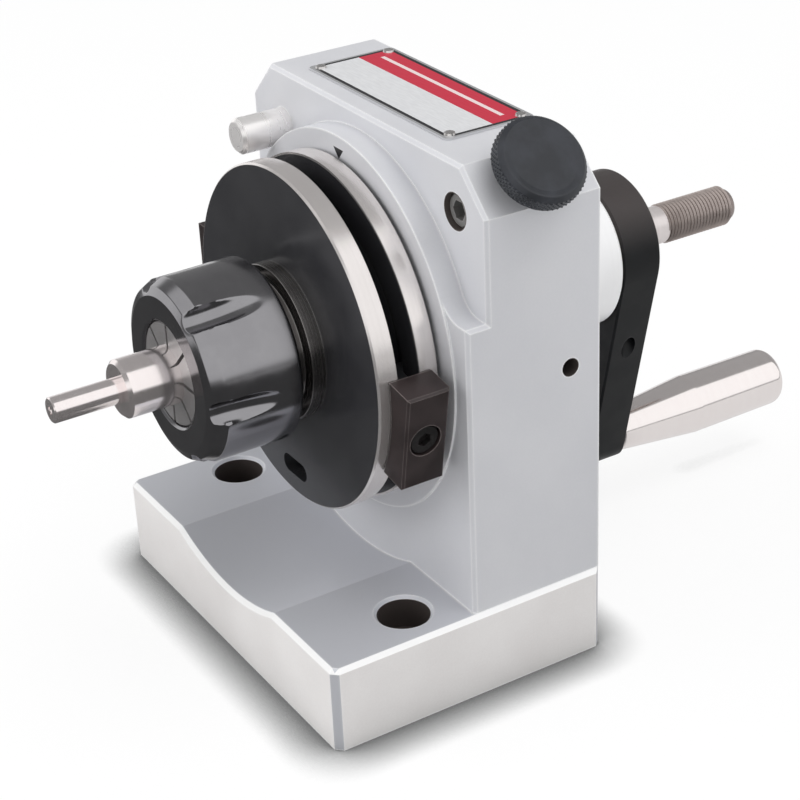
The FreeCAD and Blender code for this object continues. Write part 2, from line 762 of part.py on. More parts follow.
def make_disc():
    line = spindle_frame()
    bore = "seatRadius + fixedFit"
    ease = "discChamfer"
    blank = turned("discBlank", [
        (bore, DISC_FRONT), (DISC_RADIUS + " - " + ease, DISC_FRONT), (DISC_RADIUS, DISC_FRONT + " + " + ease),
        (DISC_RADIUS, GROOVE_FRONT), (RIM_FLOOR, GROOVE_FRONT),
        (RIM_FLOOR, GROOVE_FRONT + " - undercutSide"), (GROOVE_FLOOR, GROOVE_FRONT + " - undercutSide"),
        (GROOVE_FLOOR, GROOVE_REAR + " + undercutSide"), (RIM_FLOOR, GROOVE_REAR + " + undercutSide"),
        (RIM_FLOOR, GROOVE_REAR), (DISC_RADIUS, GROOVE_REAR), (DISC_RADIUS, DISC_REAR + " - " + ease),
        (DISC_RADIUS + " - " + ease, DISC_REAR), (bore, DISC_REAR)], line)
    down = moved(spindle_frame(-90), x=number(DISC_RADIUS + " - windowInset"),
                 z=number(DISC_FRONT + " - looseFit"))
    deep = "frontFlange - looseFit"
    window = [block("windowMiddle", "2 * windowEnd", "2 * windowHalf", deep,
                    moved(down, x=-number("windowEnd"), y=-number("windowHalf")))]
    for side in (-1, 1):
        window.append(rod("windowEnd%d" % (side + 1), "windowEnd", deep,
                          moved(down, y=side * number("windowHalf"))))
    seat = key_seat("discKeySeat", "keyWidth / 2 + fixedFit")
    keep("stop_disc", cut("discCut", blank, window + [seat]))


# Stop dogs


def make_dog(hand, angle):
    frame = spindle_frame(angle)
    middle = "(" + GROOVE_FRONT + " + grooveWidth / 2)"
    out = radial_frame(angle, number(middle))
    sink = "(" + DOG_TOP + " - dogHeadSink)"

    body = doc.addObject("PartDesign::Body", "dogBlank" + hand)
    face = sketch_on(body, "XY_Plane", "dogOutline" + hand, middle + " + dogShift - dogWidth / 2")
    inner = DISC_RADIUS + " - dogSkirt"
    outline(face, [(inner, "-(dogHalf)"), (DOG_TOP, "-(dogHalf)"), (DOG_TOP, "dogHalf"), (inner, "dogHalf")])
    extruded(body, "Pad", "dogPad" + hand, face, "dogWidth")
    top = number(DOG_TOP)
    eased(body, "Chamfer", "dogEdges" + hand, "dogChamfer", lambda edge: edge.BoundBox.XMin > top - NEAR)
    body.Placement = frame
    tools = [
        rod("dogSeat" + hand, DISC_RADIUS + " + looseFit", "4 * dogWidth",
            moved(frame, z=number(middle + " - 2 * dogWidth"))),
        rod("dogHole" + hand, "dogScrewRadius + slideFit", DOG_TOP, out),
        rod("dogSink" + hand, "dogHeadRadius + looseFit", "dogHeadSink + overshoot",
            moved(out, z=number(sink))),
    ]
    keep("dog_" + hand.lower(), cut("dog" + hand, body, tools))

    # The nut slides under both flanges, so its shoulders follow the groove's curve
    foot = "(" + GROOVE_FLOOR + " + looseFit)"
    crown = "(" + DISC_RADIUS + " - dogNutSink)"
    shoulders = overlap("dogNutShoulders" + hand, block(
        "dogNutHead" + hand, RIM_FLOOR + " - " + GROOVE_FLOOR, "2 * dogNutHalf",
        "grooveWidth + 2 * undercutSide - 2 * slideFit",
        moved(frame, x=number(foot), y=-number("dogNutHalf"),
              z=number(GROOVE_FRONT + " - undercutSide + slideFit"))),
        rod("dogNutRound" + hand, RIM_FLOOR + " - looseFit", "4 * dogWidth",
            moved(frame, z=number(middle + " - 2 * dogWidth"))))
    neck = overlap("dogNutNeckRound" + hand, block(
        "dogNutNeck" + hand, crown + " - " + foot, "2 * dogNutHalf", "grooveWidth - 2 * slideFit",
        moved(frame, x=number(foot), y=-number("dogNutHalf"), z=number(GROOVE_FRONT + " + slideFit"))),
        rod("dogNutTop" + hand, crown, "4 * dogWidth", moved(frame, z=number(middle + " - 2 * dogWidth"))))
    nut = joined("dogNutWhole" + hand, [shoulders, neck])
    tapped = rod("dogNutTapped" + hand, "dogScrewRadius + fixedFit", DOG_TOP, out)
    keep("dog_nut_" + hand.lower(), cut("dogNut" + hand, nut, [tapped]))

    head = sink + " + dogHeadLength"
    screw = turned("dogScrewBlank" + hand, [
        ("0", GROOVE_FLOOR + " + dogScrewClear"), ("dogScrewRadius", GROOVE_FLOOR + " + dogScrewClear"),
        ("dogScrewRadius", sink), ("dogHeadRadius", sink), ("dogHeadRadius", head + " - dogHeadChamfer"),
        ("dogHeadRadius - dogHeadChamfer", head), ("0", head)], out)
    socket = hexagon("dogSocket" + hand, "dogHexFlats", "dogHexDepth + overshoot",
                     moved(out, z=number(head + " - dogHexDepth")))
    keep("dog_screw_" + hand.lower(), cut("dogScrew" + hand, screw, [socket]))


# Collet chuck


def make_nut():
    line = spindle_frame()
    cone = COLLET_FRONT + " + colletCone"
    rim = COLLET_FRONT + " + colletCone + colletRim"
    lip_rear = rim + " + looseFit + nutLipLength"
    blank = turned("nutBlank", [
        ("nutOpening", NUT_FRONT), ("nutFaceRadius", NUT_FRONT),
        ("nutBevelRadius", NUT_FRONT + " + nutBevelDepth"), ("nutRadius", NUT_FRONT + " + nutBevelLength"),
        ("nutRadius", NUT_REAR + " - nutRearChamfer"), ("nutRadius - nutRearChamfer", NUT_REAR),
        ("noseRadius + slideFit", NUT_REAR), ("noseRadius + slideFit", lip_rear), ("nutLip", lip_rear),
        ("nutLip", rim + " + looseFit"), ("colletRadius + looseFit", rim + " + looseFit"),
        ("colletRadius + looseFit", cone + " + slideFit"),
        ("nutOpening", COLLET_FRONT + " + nutOpening - colletFaceRadius")], line)
    # A round-nosed disc cutter makes the wrench notches, deepest at the front and running out behind
    count = int(number("notchCount"))
    sweep = "((notchLength ^ 2 + notchDepth ^ 2) / (2 * notchDepth))"
    across = FreeCAD.Placement(FreeCAD.Vector(), FreeCAD.Rotation(X_AXIS, 90))
    notches = []
    for index in range(count):
        frame = spindle_frame(number("notchAngle") + index * 360 / count)
        centre = moved(frame, x=number("nutRadius - notchDepth + " + sweep), z=number(NUT_FRONT))
        cutter = doc.addObject("Part::Torus", "notch%d" % index)
        bound(cutter, {"Radius1": sweep + " - notchCutter", "Radius2": "notchCutter"})
        cutter.Placement = centre * across
        notches.append(cutter)
    keep("collet_nut", cut("nutNotched", blank, notches))


def make_collet():
    line = spindle_frame()
    cone = COLLET_FRONT + " + colletCone"
    rim = cone + " + colletRim"
    groove = rim + " + colletGroove"
    bore = "punchRadius + fixedFit"
    blank = turned("colletBlank", [
        (bore, COLLET_FRONT), ("colletFaceRadius", COLLET_FRONT), ("colletRadius", cone),
        ("colletRadius", rim), ("colletGrooveRadius", rim), ("colletGrooveRadius", groove),
        ("colletShoulder", groove), ("colletTail", COLLET_REAR), (bore, COLLET_REAR)], line)
    # Slots from the front and from the back take turns round the collet
    count = int(number("slotCount"))
    slots = []
    for index in range(2 * count):
        from_back = index % 2
        frame = spindle_frame(index * 180 / count)
        start = COLLET_FRONT + (" + slotLand" if from_back else " - overshoot")
        corner = moved(frame, x=number("punchRadius - slotWidth"), y=-number("slotWidth / 2"), z=number(start))
        slots.append(block("slot%d" % index, "colletRadius", "slotWidth",
                           "colletLength - slotLand + overshoot", corner))
    keep("collet", cut("colletSlotted", blank, slots))


def make_punch():
    step = NUT_FRONT + " - punchStep"
    tip = NUT_FRONT + " - punchStep - punchNose"
    tail = COLLET_FRONT + " + punchTail"
    keep("punch", turned("punchBlank", [
        ("0", tip + " + centreDepth"), ("centreRadius", tip + " + punchTipChamfer"), ("centreRadius", tip),
        ("punchNoseRadius - punchTipChamfer", tip), ("punchNoseRadius", tip + " + punchTipChamfer"),
        ("punchNoseRadius", step), ("punchRadius - punchChamfer", step),
        ("punchRadius", step + " + punchChamfer"), ("punchRadius", tail + " - punchTailChamfer"),
        ("punchRadius - punchTailChamfer", tail), ("0", tail)], spindle_frame()))


# Index plunger


def make_index_ring():
    body = doc.addObject("PartDesign::Body", "ringBlank")
    face = sketch_on(body, "XY_Plane", "ringCircles", RING_FRONT)
    circle(face, "ringRadius")
    circle(face, "waistRadius + fixedFit")
    extruded(body, "Pad", "ringPad", face, "ringWidth")
    notch = sketch_on(body, "XY_Plane", "ringNotch", RING_FRONT)
    floor = "ringRadius - indexDepth"
    half = "indexWidth / 2"
    outline(notch, [(floor, "-(" + half + ")"), ("ringRadius + overshoot", "-(" + half + ")"),
                    ("ringRadius + overshoot", half), (floor, half)])
    first = extruded(body, "Pocket", "ringNotchCut", notch, "ringWidth", backwards=True)
    pattern = body.newObject("PartDesign::PolarPattern", "ringNotches")
    pattern.Originals = [first]
    pattern.Axis = (notch, ["N_Axis"])
    pattern.Angle = 360
    bound(pattern, {"Occurrences": "indexCount"})
    body.Tip = pattern
    doc.recompute()
    body.Placement = spindle_frame()
    between = 90 + 180 / number("indexCount")
    out = radial_frame(between, number("plungerY"))
    hole = rod("ringScrewHole", "ringScrewRadius + fixedFit", "ringRadius", out)
    keep("index_ring", cut("ringDrilled", body, [hole]))
    grub_screw("index_ring_screw", "ringScrewRadius", "ringScrewLength", "smallFlats * 0.75",
               "smallSocket * 0.75", moved(out, z=number("waistRadius + fixedFit + ringScrewLength")))


def make_plunger():
    frame = radial_frame(45, number("plungerY"))
    foot = "barrelFoot"
    chamber = "barrelFoot + footThickness"
    cap = BARREL_TOP + " - capThickness"
    keep("plunger_barrel", turned("plungerBarrel", [
        ("guideRadius + runFit", foot), ("barrelRadius", foot), ("barrelRadius", BARREL_TOP),
        ("stemRadius + runFit", BARREL_TOP), ("stemRadius + runFit", cap), ("barrelBore", cap),
        ("barrelBore", chamber), ("guideRadius + runFit", chamber)], frame))
    keep("plunger_pin", turned("plungerPin", [
        ("0", TIP_REST), ("tipRadius", TIP_REST), ("tipRadius", TIP_REST + " + tipLength"),
        ("guideRadius", TIP_REST + " + tipLength + tipTaper"), ("guideRadius", SHOULDER_FOOT),
        ("shoulderRadius", SHOULDER_FOOT), ("shoulderRadius", SHOULDER_TOP), ("stemRadius", SHOULDER_TOP),
        ("stemRadius", KNOB_UNDER + " + knobDepth"), ("0", KNOB_UNDER + " + knobDepth")], frame))
    under = KNOB_UNDER
    keep("plunger_knob", turned("plungerKnob", [
        ("stemRadius + fixedFit", under), ("knobRadius - knobChamfer", under),
        ("knobRadius", under + " + knobChamfer"), ("knobRadius", KNOB_TOP + " - knobChamfer"),
        ("knobRadius - knobChamfer", KNOB_TOP), ("0", KNOB_TOP),
        ("0", under + " + knobDepth + fixedFit"),
        ("stemRadius + fixedFit", under + " + knobDepth + fixedFit")], frame))

    # The spring is of square wire and fills the chamber between the pin's shoulder and the barrel's cap
    low = number(SHOULDER_TOP + " + springWire + slideFit")
    high = number(cap + " - springWire - slideFit")
    half = number("springWire")
    mean = number("springMean")
    helix = Part.makeHelix(number("springPitch"), high - low, mean)
    corners = [(-half, -half), (half, -half), (half, half), (-half, half), (-half, -half)]
    section = Part.makePolygon([FreeCAD.Vector(mean + a, 0, b) for a, b in corners])
    coil = Part.Wire(helix.Edges).makePipeShell([section], True, True)
    spring = doc.addObject("Part::Feature", "springCoil")
    spring.Shape = Part.Solid(coil) if coil.ShapeType == "Shell" else coil
    spring.Placement = moved(frame, z=low)
    keep("plunger_spring", spring)

    lock = lock_frame(number("lockSink"))
    flipped = lock * FreeCAD.Placement(FreeCAD.Vector(), FreeCAD.Rotation(X_AXIS, 180))
    grub_screw("plunger_set_screw", "lockRadius", "lockLength", "lockFlats", "lockSocket", flipped)


# Crank


def handle_frame():
    """Local z runs along the crank handle to the back."""
    return moved(spindle_frame(), x=number("armLean"), y=number("armDrop"))


def make_arm():
    body = doc.addObject("PartDesign::Body", "armBlank")
    sketch = sketch_on(body, "XY_Plane", "armOutline", ARM_FRONT)
    head, end = number("armHeadRadius"), number("armEndRadius")
    lean, drop = number("armLean"), number("armDrop")
    reach = math.hypot(lean, drop)
    along = math.atan2(drop, lean)
    splay = math.acos((head - end) / reach)
    centres = [FreeCAD.Vector(0, 0, 0), FreeCAD.Vector(lean, drop, 0)]
    # The two tangent lines leave both circles at the same two angles
    sweeps = [(along + splay, along - splay + 2 * math.pi), (along - splay, along + splay)]
    for centre, radius, (start, stop) in zip(centres, (head, end), sweeps):
        sketch.addGeometry(Part.ArcOfCircle(Part.Circle(centre, Z_AXIS, radius), start, stop), False)
    ends = []
    for angle in (along - splay, along + splay):
        ray = FreeCAD.Vector(math.cos(angle), math.sin(angle), 0)
        ends.append((centres[0] + ray * head, centres[1] + ray * end))
    sketch.addGeometry(Part.LineSegment(ends[0][0], ends[0][1]), False)
    sketch.addGeometry(Part.LineSegment(ends[1][1], ends[1][0]), False)
    for first, first_end, second, second_end in ((0, 2, 2, 1), (2, 2, 1, 1), (1, 2, 3, 1), (3, 2, 0, 1)):
        sketch.addConstraint(Sketcher.Constraint("Tangent", first, first_end, second, second_end))
    links = [("Radius", (0,), "armHeadRadius", head), ("Radius", (1,), "armEndRadius", end),
             ("DistanceX", (-1, 1, 0, 3), "0", 0.0), ("DistanceY", (-1, 1, 0, 3), "0", 0.0),
             ("DistanceX", (-1, 1, 1, 3), "armLean", lean), ("DistanceY", (-1, 1, 1, 3), "armDrop", drop)]
    for kind, items, expression, start in links:
        place = sketch.addConstraint(Sketcher.Constraint(kind, *items, start))
        bound(sketch, {"Constraints[%d]" % place: expression})
    extruded(body, "Pad", "armPad", sketch, "armThickness")
    eased(body, "Chamfer", "armEdges", "armChamfer", lambda edge: edge.BoundBox.ZLength < NEAR)
    body.Placement = spindle_frame()

    middle = number(ARM_FRONT + " + armThickness / 2")
    out = radial_frame(-number("armScrewAngle"), middle)
    bores = [
        rod("armBore", "rearRadius + fixedFit", "armThickness + 2 * overshoot",
            moved(spindle_frame(), z=number(ARM_FRONT + " - overshoot"))),
        rod("armScrewHole", "armScrewRadius + fixedFit", "armDrop",
            moved(out, z=number("rearRadius - overshoot"))),
        rod("armBoltHole", "handleBoltRadius + fixedFit", "handleBoltGrip + overshoot",
            moved(handle_frame(), z=number(ARM_REAR + " - handleBoltGrip"))),
    ]
    keep("crank_arm", cut("armDrilled", body, bores))
    grub_screw("arm_set_screw", "armScrewRadius", "armScrewLength", "smallFlats", "smallSocket",
               moved(out, z=number("rearRadius + fixedFit + armScrewLength")))


def make_handle():
    root = ARM_REAR + " + handleGap"
    end = root + " + handleLength"
    sink = end + " - handleHeadSink"
    head = sink + " + slideFit"
    body = turned("handleBlank", [
        ("handleBoltRadius + runFit", root), ("handleRoot", root), ("handleBelly", root + " + handleTaper"),
        ("handleEnd", end), ("handleHeadRadius + looseFit", end), ("handleHeadRadius + looseFit", sink),
        ("handleBoltRadius + runFit", sink)], handle_frame())
    rear = number(end)
    wide = number("handleEnd")
    eased(body, "Fillet", "handleEndRound", "handleRound",
          lambda edge: edge.BoundBox.ZMin > rear - NEAR and edge.BoundBox.XMax > wide - NEAR)
    front = number(root)
    slim = number("handleRoot")
    eased(body, "Fillet", "handleRootRound", "edgeChamfer",
          lambda edge: edge.BoundBox.ZMax < front + NEAR and edge.BoundBox.XMax > slim - NEAR)
    keep("crank_handle", body)

    foot = ARM_REAR + " - handleBoltGrip"
    top = head + " + handleHeadLength"
    bolt = turned("handleBoltBlank", [
        ("0", foot), ("handleBoltRadius", foot), ("handleBoltRadius", head), ("handleHeadRadius", head),
        ("handleHeadRadius", top), ("0", top)], handle_frame())
    socket = hexagon("handleSocket", "handleFlats", "smallSocket + overshoot",
                     moved(handle_frame(), z=number(top + " - smallSocket")))
    keep("handle_bolt", cut("handleBolt", bolt, [socket]))


make_body_holes(make_body())
make_nameplate()
make_bearings()
make_stop_pin()
make_spindle()
make_disc()
make_dog("Right", number("dogRightAngle"))
make_dog("Left", number("dogLeftAngle"))
make_nut()
make_collet()
make_punch()
make_index_ring()
make_plunger()
make_arm()
make_handle()
doc.recompute()

faults = []
for item in doc.Objects:
    if "Invalid" in item.State or "Error" in item.State:
        faults.append(item.Name + " failed")
for piece in nodes:
    if piece.Shape.isNull() or not piece.Shape.isValid() or not piece.Shape.Solids:
        faults.append(piece.Label + " has no valid solid")
if faults:
    raise RuntimeError("; ".join(faults))

os.makedirs("parts", exist_ok=True)
for piece in nodes:
    piece.Shape.exportStep("parts/" + piece.Label + ".step")
    box = piece.Shape.BoundBox
    print("%-20s %d solid %9.1f mm3  x %.1f..%.1f y %.1f..%.1f z %.1f..%.1f" % (
        piece.Label, len(piece.Shape.Solids), piece.Shape.Volume,
        box.XMin, box.XMax, box.YMin, box.YMax, box.ZMin, box.ZMax))
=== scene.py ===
import math

import bmesh
import bpy
import numpy as np
from mathutils import Matrix, Vector


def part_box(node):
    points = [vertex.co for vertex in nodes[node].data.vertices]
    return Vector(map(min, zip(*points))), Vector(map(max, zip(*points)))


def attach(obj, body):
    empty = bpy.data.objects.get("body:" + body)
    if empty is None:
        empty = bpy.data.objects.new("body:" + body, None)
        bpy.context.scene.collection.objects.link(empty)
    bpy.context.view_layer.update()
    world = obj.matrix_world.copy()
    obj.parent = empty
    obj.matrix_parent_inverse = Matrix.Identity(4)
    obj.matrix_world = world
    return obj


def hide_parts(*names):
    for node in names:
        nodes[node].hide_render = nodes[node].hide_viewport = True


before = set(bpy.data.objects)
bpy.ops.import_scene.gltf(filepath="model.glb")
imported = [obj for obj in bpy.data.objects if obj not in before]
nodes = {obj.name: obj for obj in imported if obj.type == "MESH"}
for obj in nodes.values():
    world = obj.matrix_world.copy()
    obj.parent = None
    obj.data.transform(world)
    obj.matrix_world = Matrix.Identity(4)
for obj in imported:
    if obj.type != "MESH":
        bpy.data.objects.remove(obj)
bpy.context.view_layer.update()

# Looks of the punch former. Everything is in metres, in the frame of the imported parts.

mm = 0.001
print("frame loaded:", len(nodes), "nodes")


# Places read from the frame

def lowCorner(node):
    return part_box(node)[0]


def highCorner(node):
    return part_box(node)[1]


def middleOf(node):
    low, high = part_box(node)
    return (low + high) / 2


def halfWidth(node):
    low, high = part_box(node)
    return (high.x - low.x) / 2


spindleHeight = middleOf("stop_disc").z
baseHeight = 21 * mm
baseHalf = halfWidth("body")
baseFront = lowCorner("body").y


# Node building

def addNode(tree, kind, **settings):
    node = tree.nodes.new(kind)
    for name, value in settings.items():
        setattr(node, name, value)
    return node


def join(tree, source, target):
    tree.links.new(source, target)


def feed(tree, socket, value):
    # A value is either another node's output or a plain number
    if isinstance(value, bpy.types.NodeSocket):
        tree.links.new(value, socket)
    else:
        socket.default_value = value


def mathNode(tree, operation, first, second=0.0, clamp=False):
    node = addNode(tree, "ShaderNodeMath", operation=operation, use_clamp=clamp)
    feed(tree, node.inputs[0], first)
    feed(tree, node.inputs[1], second)
    return node.outputs[0]


def both(tree, *masks):
    result = masks[0]
    for mask in masks[1:]:
        result = mathNode(tree, "MULTIPLY", result, mask)
    return result


def either(tree, *masks):
    result = masks[0]
    for mask in masks[1:]:
        result = mathNode(tree, "MAXIMUM", result, mask)
    return result


def inverted(tree, mask):
    return mathNode(tree, "SUBTRACT", 1.0, mask)


def crossed(tree, share, first, second):
    # first where the share is 0, second where it is 1
    return mathNode(tree, "ADD", both(tree, first, inverted(tree, share)), both(tree, second, share))


def farFrom(tree, value, middle):
    return mathNode(tree, "ABSOLUTE", mathNode(tree, "SUBTRACT", value, middle))


def rangeNode(tree, value, fromLow, fromHigh, toLow=0.0, toHigh=1.0):
    node = addNode(tree, "ShaderNodeMapRange", interpolation_type="SMOOTHSTEP")
    feed(tree, node.inputs["Value"], value)
    limits = {"From Min": fromLow, "From Max": fromHigh, "To Min": toLow, "To Max": toHigh}
    for name, number in limits.items():
        node.inputs[name].default_value = number
    return node.outputs["Result"]


def mixColour(tree, factor, first, second):
    node = addNode(tree, "ShaderNodeMix", data_type="RGBA")
    feed(tree, node.inputs[0], factor)
    feed(tree, node.inputs[6], first)
    feed(tree, node.inputs[7], second)
    return node.outputs[2]


def noiseNode(tree, vector, scale, detail=3.0, roughness=0.6):
    node = addNode(tree, "ShaderNodeTexNoise")
    join(tree, vector, node.inputs["Vector"])
    node.inputs["Scale"].default_value = scale
    node.inputs["Detail"].default_value = detail
    node.inputs["Roughness"].default_value = roughness
    return node.outputs["Fac"]


def placeOf(tree):
    # Object coordinates as a vector and as its three parts
    coordinates = addNode(tree, "ShaderNodeTexCoord").outputs["Object"]
    parts = addNode(tree, "ShaderNodeSeparateXYZ")
    join(tree, coordinates, parts.inputs[0])
    return coordinates, parts.outputs[0], parts.outputs[1], parts.outputs[2]


def stretched(tree, vector, scale):
    node = addNode(tree, "ShaderNodeMapping")
    join(tree, vector, node.inputs["Vector"])
    node.inputs["Scale"].default_value = scale
    return node.outputs["Vector"]


def vectorNode(tree, operation, first, second=(0, 0, 0)):
    node = addNode(tree, "ShaderNodeVectorMath", operation=operation)
    feed(tree, node.inputs[0], first)
    feed(tree, node.inputs[1], second)
    return node.outputs["Value" if operation in ("DOT_PRODUCT", "LENGTH") else "Vector"]


def squared(tree, value):
    return mathNode(tree, "POWER", value, 2.0)


def radiusAbout(tree, centre, axis):
    # Distance from a line through centre, and the place along that line
    shifted = vectorNode(tree, "SUBTRACT", placeOf(tree)[0], centre)
    along = vectorNode(tree, "DOT_PRODUCT", shifted, axis)
    length = vectorNode(tree, "LENGTH", shifted)
    acrossSquare = mathNode(tree, "SUBTRACT", squared(tree, length), squared(tree, along))
    return mathNode(tree, "SQRT", mathNode(tree, "MAXIMUM", acrossSquare, 0.0)), along


def latheGrain(tree, centre, axis, pitch):
    # Fine rings left by the turning tool: the noise sees only the radius and the length
    radius, along = radiusAbout(tree, centre, axis)
    vector = addNode(tree, "ShaderNodeCombineXYZ")
    join(tree, radius, vector.inputs[0])
    join(tree, along, vector.inputs[1])
    return noiseNode(tree, vector.outputs[0], 1 / pitch, 2.0, 0.55), radius


def edgeMask(tree, radius, strength):
    # 1 at convex and concave edges, 0 on the flats
    bevel = addNode(tree, "ShaderNodeBevel", samples=6)
    bevel.inputs["Radius"].default_value = radius
    normal = addNode(tree, "ShaderNodeNewGeometry").outputs["Normal"]
    away = inverted(tree, vectorNode(tree, "DOT_PRODUCT", bevel.outputs[0], normal))
    return mathNode(tree, "MULTIPLY", away, strength, clamp=True)


def blended(tree, cloud, grain, share, low, high):
    # Slow clouds and fine grain together
    total = mathNode(tree, "ADD", both(tree, cloud, share), both(tree, grain, 1 - share))
    return rangeNode(tree, total, low, high)


def bumpFrom(tree, height, strength, distance):
    node = addNode(tree, "ShaderNodeBump")
    join(tree, height, node.inputs["Height"])
    node.inputs["Strength"].default_value = strength
    node.inputs["Distance"].default_value = distance
    return node.outputs["Normal"]


def newFinish(name):
    material = bpy.data.materials.new(name)
    material.use_nodes = True
    tree = material.node_tree
    return material, tree, tree.nodes["Principled BSDF"]


# Finishes

steelLook = {
    "upright": (0.665, 0.668, 0.692, 1), "uprightDark": (0.625, 0.630, 0.660, 1),
    "ground": (0.86, 0.84, 0.83, 1), "groundDark": (0.80, 0.775, 0.765, 1),
    "channel": (0.62, 0.63, 0.67, 1), "edge": (0.95, 0.95, 0.95, 1), "hole": (0.09, 0.075, 0.07, 1),
    "inkAndMarkShade": (0.006, 0.006, 0.008, 1), "metallic": 0.15, "channelMetal": 0.38, "roughLow": 0.40,
    "roughHigh": 0.50, "edgeRadius": 0.0009, "edgeStrength": 4.4, "cloudScale": 38,
    "grainScale": 1800, "cloudShare": 0.7, "bump": 0.06, "bumpDepth": 0.01 * mm, "skin": 0.03 * mm,
    "boltX": 38.8 * mm, "boltY": -10.8 * mm, "sinkRadius": 6.03 * mm, "screwY": 27.6 * mm,
    "screwRadius": 2.16 * mm, "lockRadius": 4.2 * mm, "uprightFace": 0.8 * mm,
    "chamfer": 1.0 * mm, "archFoot": 13.0 * mm, "archHalf": 46.0 * mm,
    "markSide": 0.7 * mm, "markHalf": 2.1 * mm, "markFoot": 39.0 * mm, "markTop": 41.5 * mm,
    "markDepth": 3.0 * mm,
}


def holeMask(tree, coordinates, centre, reach, rim):
    # 1 inside a round hole whose axis is one of the three: reach leaves that axis out
    flat = vectorNode(tree, "MULTIPLY", vectorNode(tree, "SUBTRACT", coordinates, centre), reach)
    return mathNode(tree, "LESS_THAN", vectorNode(tree, "LENGTH", flat), rim)


def groundSteel():
    # Satin upright and channel over a base whose outer sides are surface ground
    look = steelLook
    material, tree, shader = newFinish("groundSteel")
    coordinates, x, y, z = placeOf(tree)
    cloud = noiseNode(tree, coordinates, look["cloudScale"], 4.0)
    grain = noiseNode(tree, coordinates, look["grainScale"], 2.0)
    blend = blended(tree, cloud, grain, look["cloudShare"], 0.3, 0.72)
    upright = mixColour(tree, blend, look["uprightDark"], look["upright"])
    underTop = mathNode(tree, "LESS_THAN", z, baseHeight + look["skin"])
    channel = both(tree, underTop, mathNode(tree, "LESS_THAN", y, look["uprightFace"]))
    satin = mixColour(tree, channel, upright, look["channel"])
    acrossX = mathNode(tree, "ABSOLUTE", x)
    atSide = mathNode(tree, "GREATER_THAN", acrossX, baseHalf - look["skin"])
    atEnd = mathNode(tree, "GREATER_THAN", mathNode(tree, "ABSOLUTE", y), -baseFront - look["skin"])
    outer = either(tree, atSide, atEnd)
    notOuter = inverted(tree, outer)
    ground = mixColour(tree, blend, look["groundDark"], look["ground"])
    plain = mixColour(tree, outer, satin, ground)
    # Painted highlight: the chamfers round the base's top are painted bright, also along the channel's
    # arch, and so are the edges that the bevel finds
    nearSide = mathNode(tree, "GREATER_THAN", acrossX, baseHalf - look["chamfer"] + look["skin"])
    nearFront = mathNode(tree, "LESS_THAN", y, baseFront + look["chamfer"] - look["skin"])
    level = baseHeight - look["chamfer"] - look["skin"]
    arch = mathNode(tree, "LESS_THAN", acrossX, look["archHalf"])
    foot = mathNode(tree, "SUBTRACT", level, both(tree, arch, level - look["archFoot"]))
    chamfers = both(tree, either(tree, nearSide, nearFront), notOuter,
                    mathNode(tree, "GREATER_THAN", z, foot), underTop)
    edges = either(tree, chamfers, edgeMask(tree, look["edgeRadius"], look["edgeStrength"]))
    edgeWearAndHighlight = mixColour(tree, edges, plain, look["edge"])
    # Painted shade: the walls of the bolt holes, the side screw's hole and the lock screw's hole are
    # painted dark brown
    mirrored = addNode(tree, "ShaderNodeCombineXYZ")
    for socket, part in zip(mirrored.inputs, (acrossX, y, z)):
        join(tree, part, socket)
    bolt = (look["boltX"], look["boltY"], 0)
    sinks = holeMask(tree, mirrored.outputs[0], bolt, (1, 1, 0), look["sinkRadius"])
    below = mathNode(tree, "LESS_THAN", z, baseHeight - look["skin"])
    # The side screw's hole is at the right only, and the lock screw's hole ends inside the head
    sideAxis = (0, look["screwY"], spindleHeight)
    screw = both(tree, mathNode(tree, "GREATER_THAN", x, 0.0),
                 holeMask(tree, coordinates, sideAxis, (0, 1, 1), look["screwRadius"]))
    lockAxis = tuple(middleOf("plunger_set_screw"))
    lock = both(tree, mathNode(tree, "LESS_THAN", y, highCorner("plunger_set_screw").y),
                holeMask(tree, coordinates, lockAxis, (1, 0, 1), look["lockRadius"]))
    holeShaded = mixColour(tree, either(tree, both(tree, sinks, below), screw, lock), edgeWearAndHighlight, look["hole"])
    # The index mark is a black point painted over the middle of the disc: painted shade standing in for
    # a small dark notch above the disc's rim
    rise = mathNode(tree, "SUBTRACT", z, spindleHeight + look["markFoot"])
    width = mathNode(tree, "MULTIPLY", rise, look["markHalf"] / (look["markTop"] - look["markFoot"]))
    markShade = both(tree, mathNode(tree, "LESS_THAN", farFrom(tree, x, look["markSide"]), width),
                mathNode(tree, "LESS_THAN", z, spindleHeight + look["markTop"]),
                mathNode(tree, "LESS_THAN", y, look["markDepth"]))
    join(tree, mixColour(tree, markShade, holeShaded, look["inkAndMarkShade"]), shader.inputs["Base Color"])
    polished = both(tree, channel, notOuter)
    metallic = rangeNode(tree, polished, 0, 1, look["metallic"], look["channelMetal"])
    join(tree, metallic, shader.inputs["Metallic"])
    roughness = rangeNode(tree, blend, 0, 1, look["roughLow"], look["roughHigh"])
    join(tree, roughness, shader.inputs["Roughness"])
    join(tree, bumpFrom(tree, grain, look["bump"], look["bumpDepth"]), shader.inputs["Normal"])
    return material


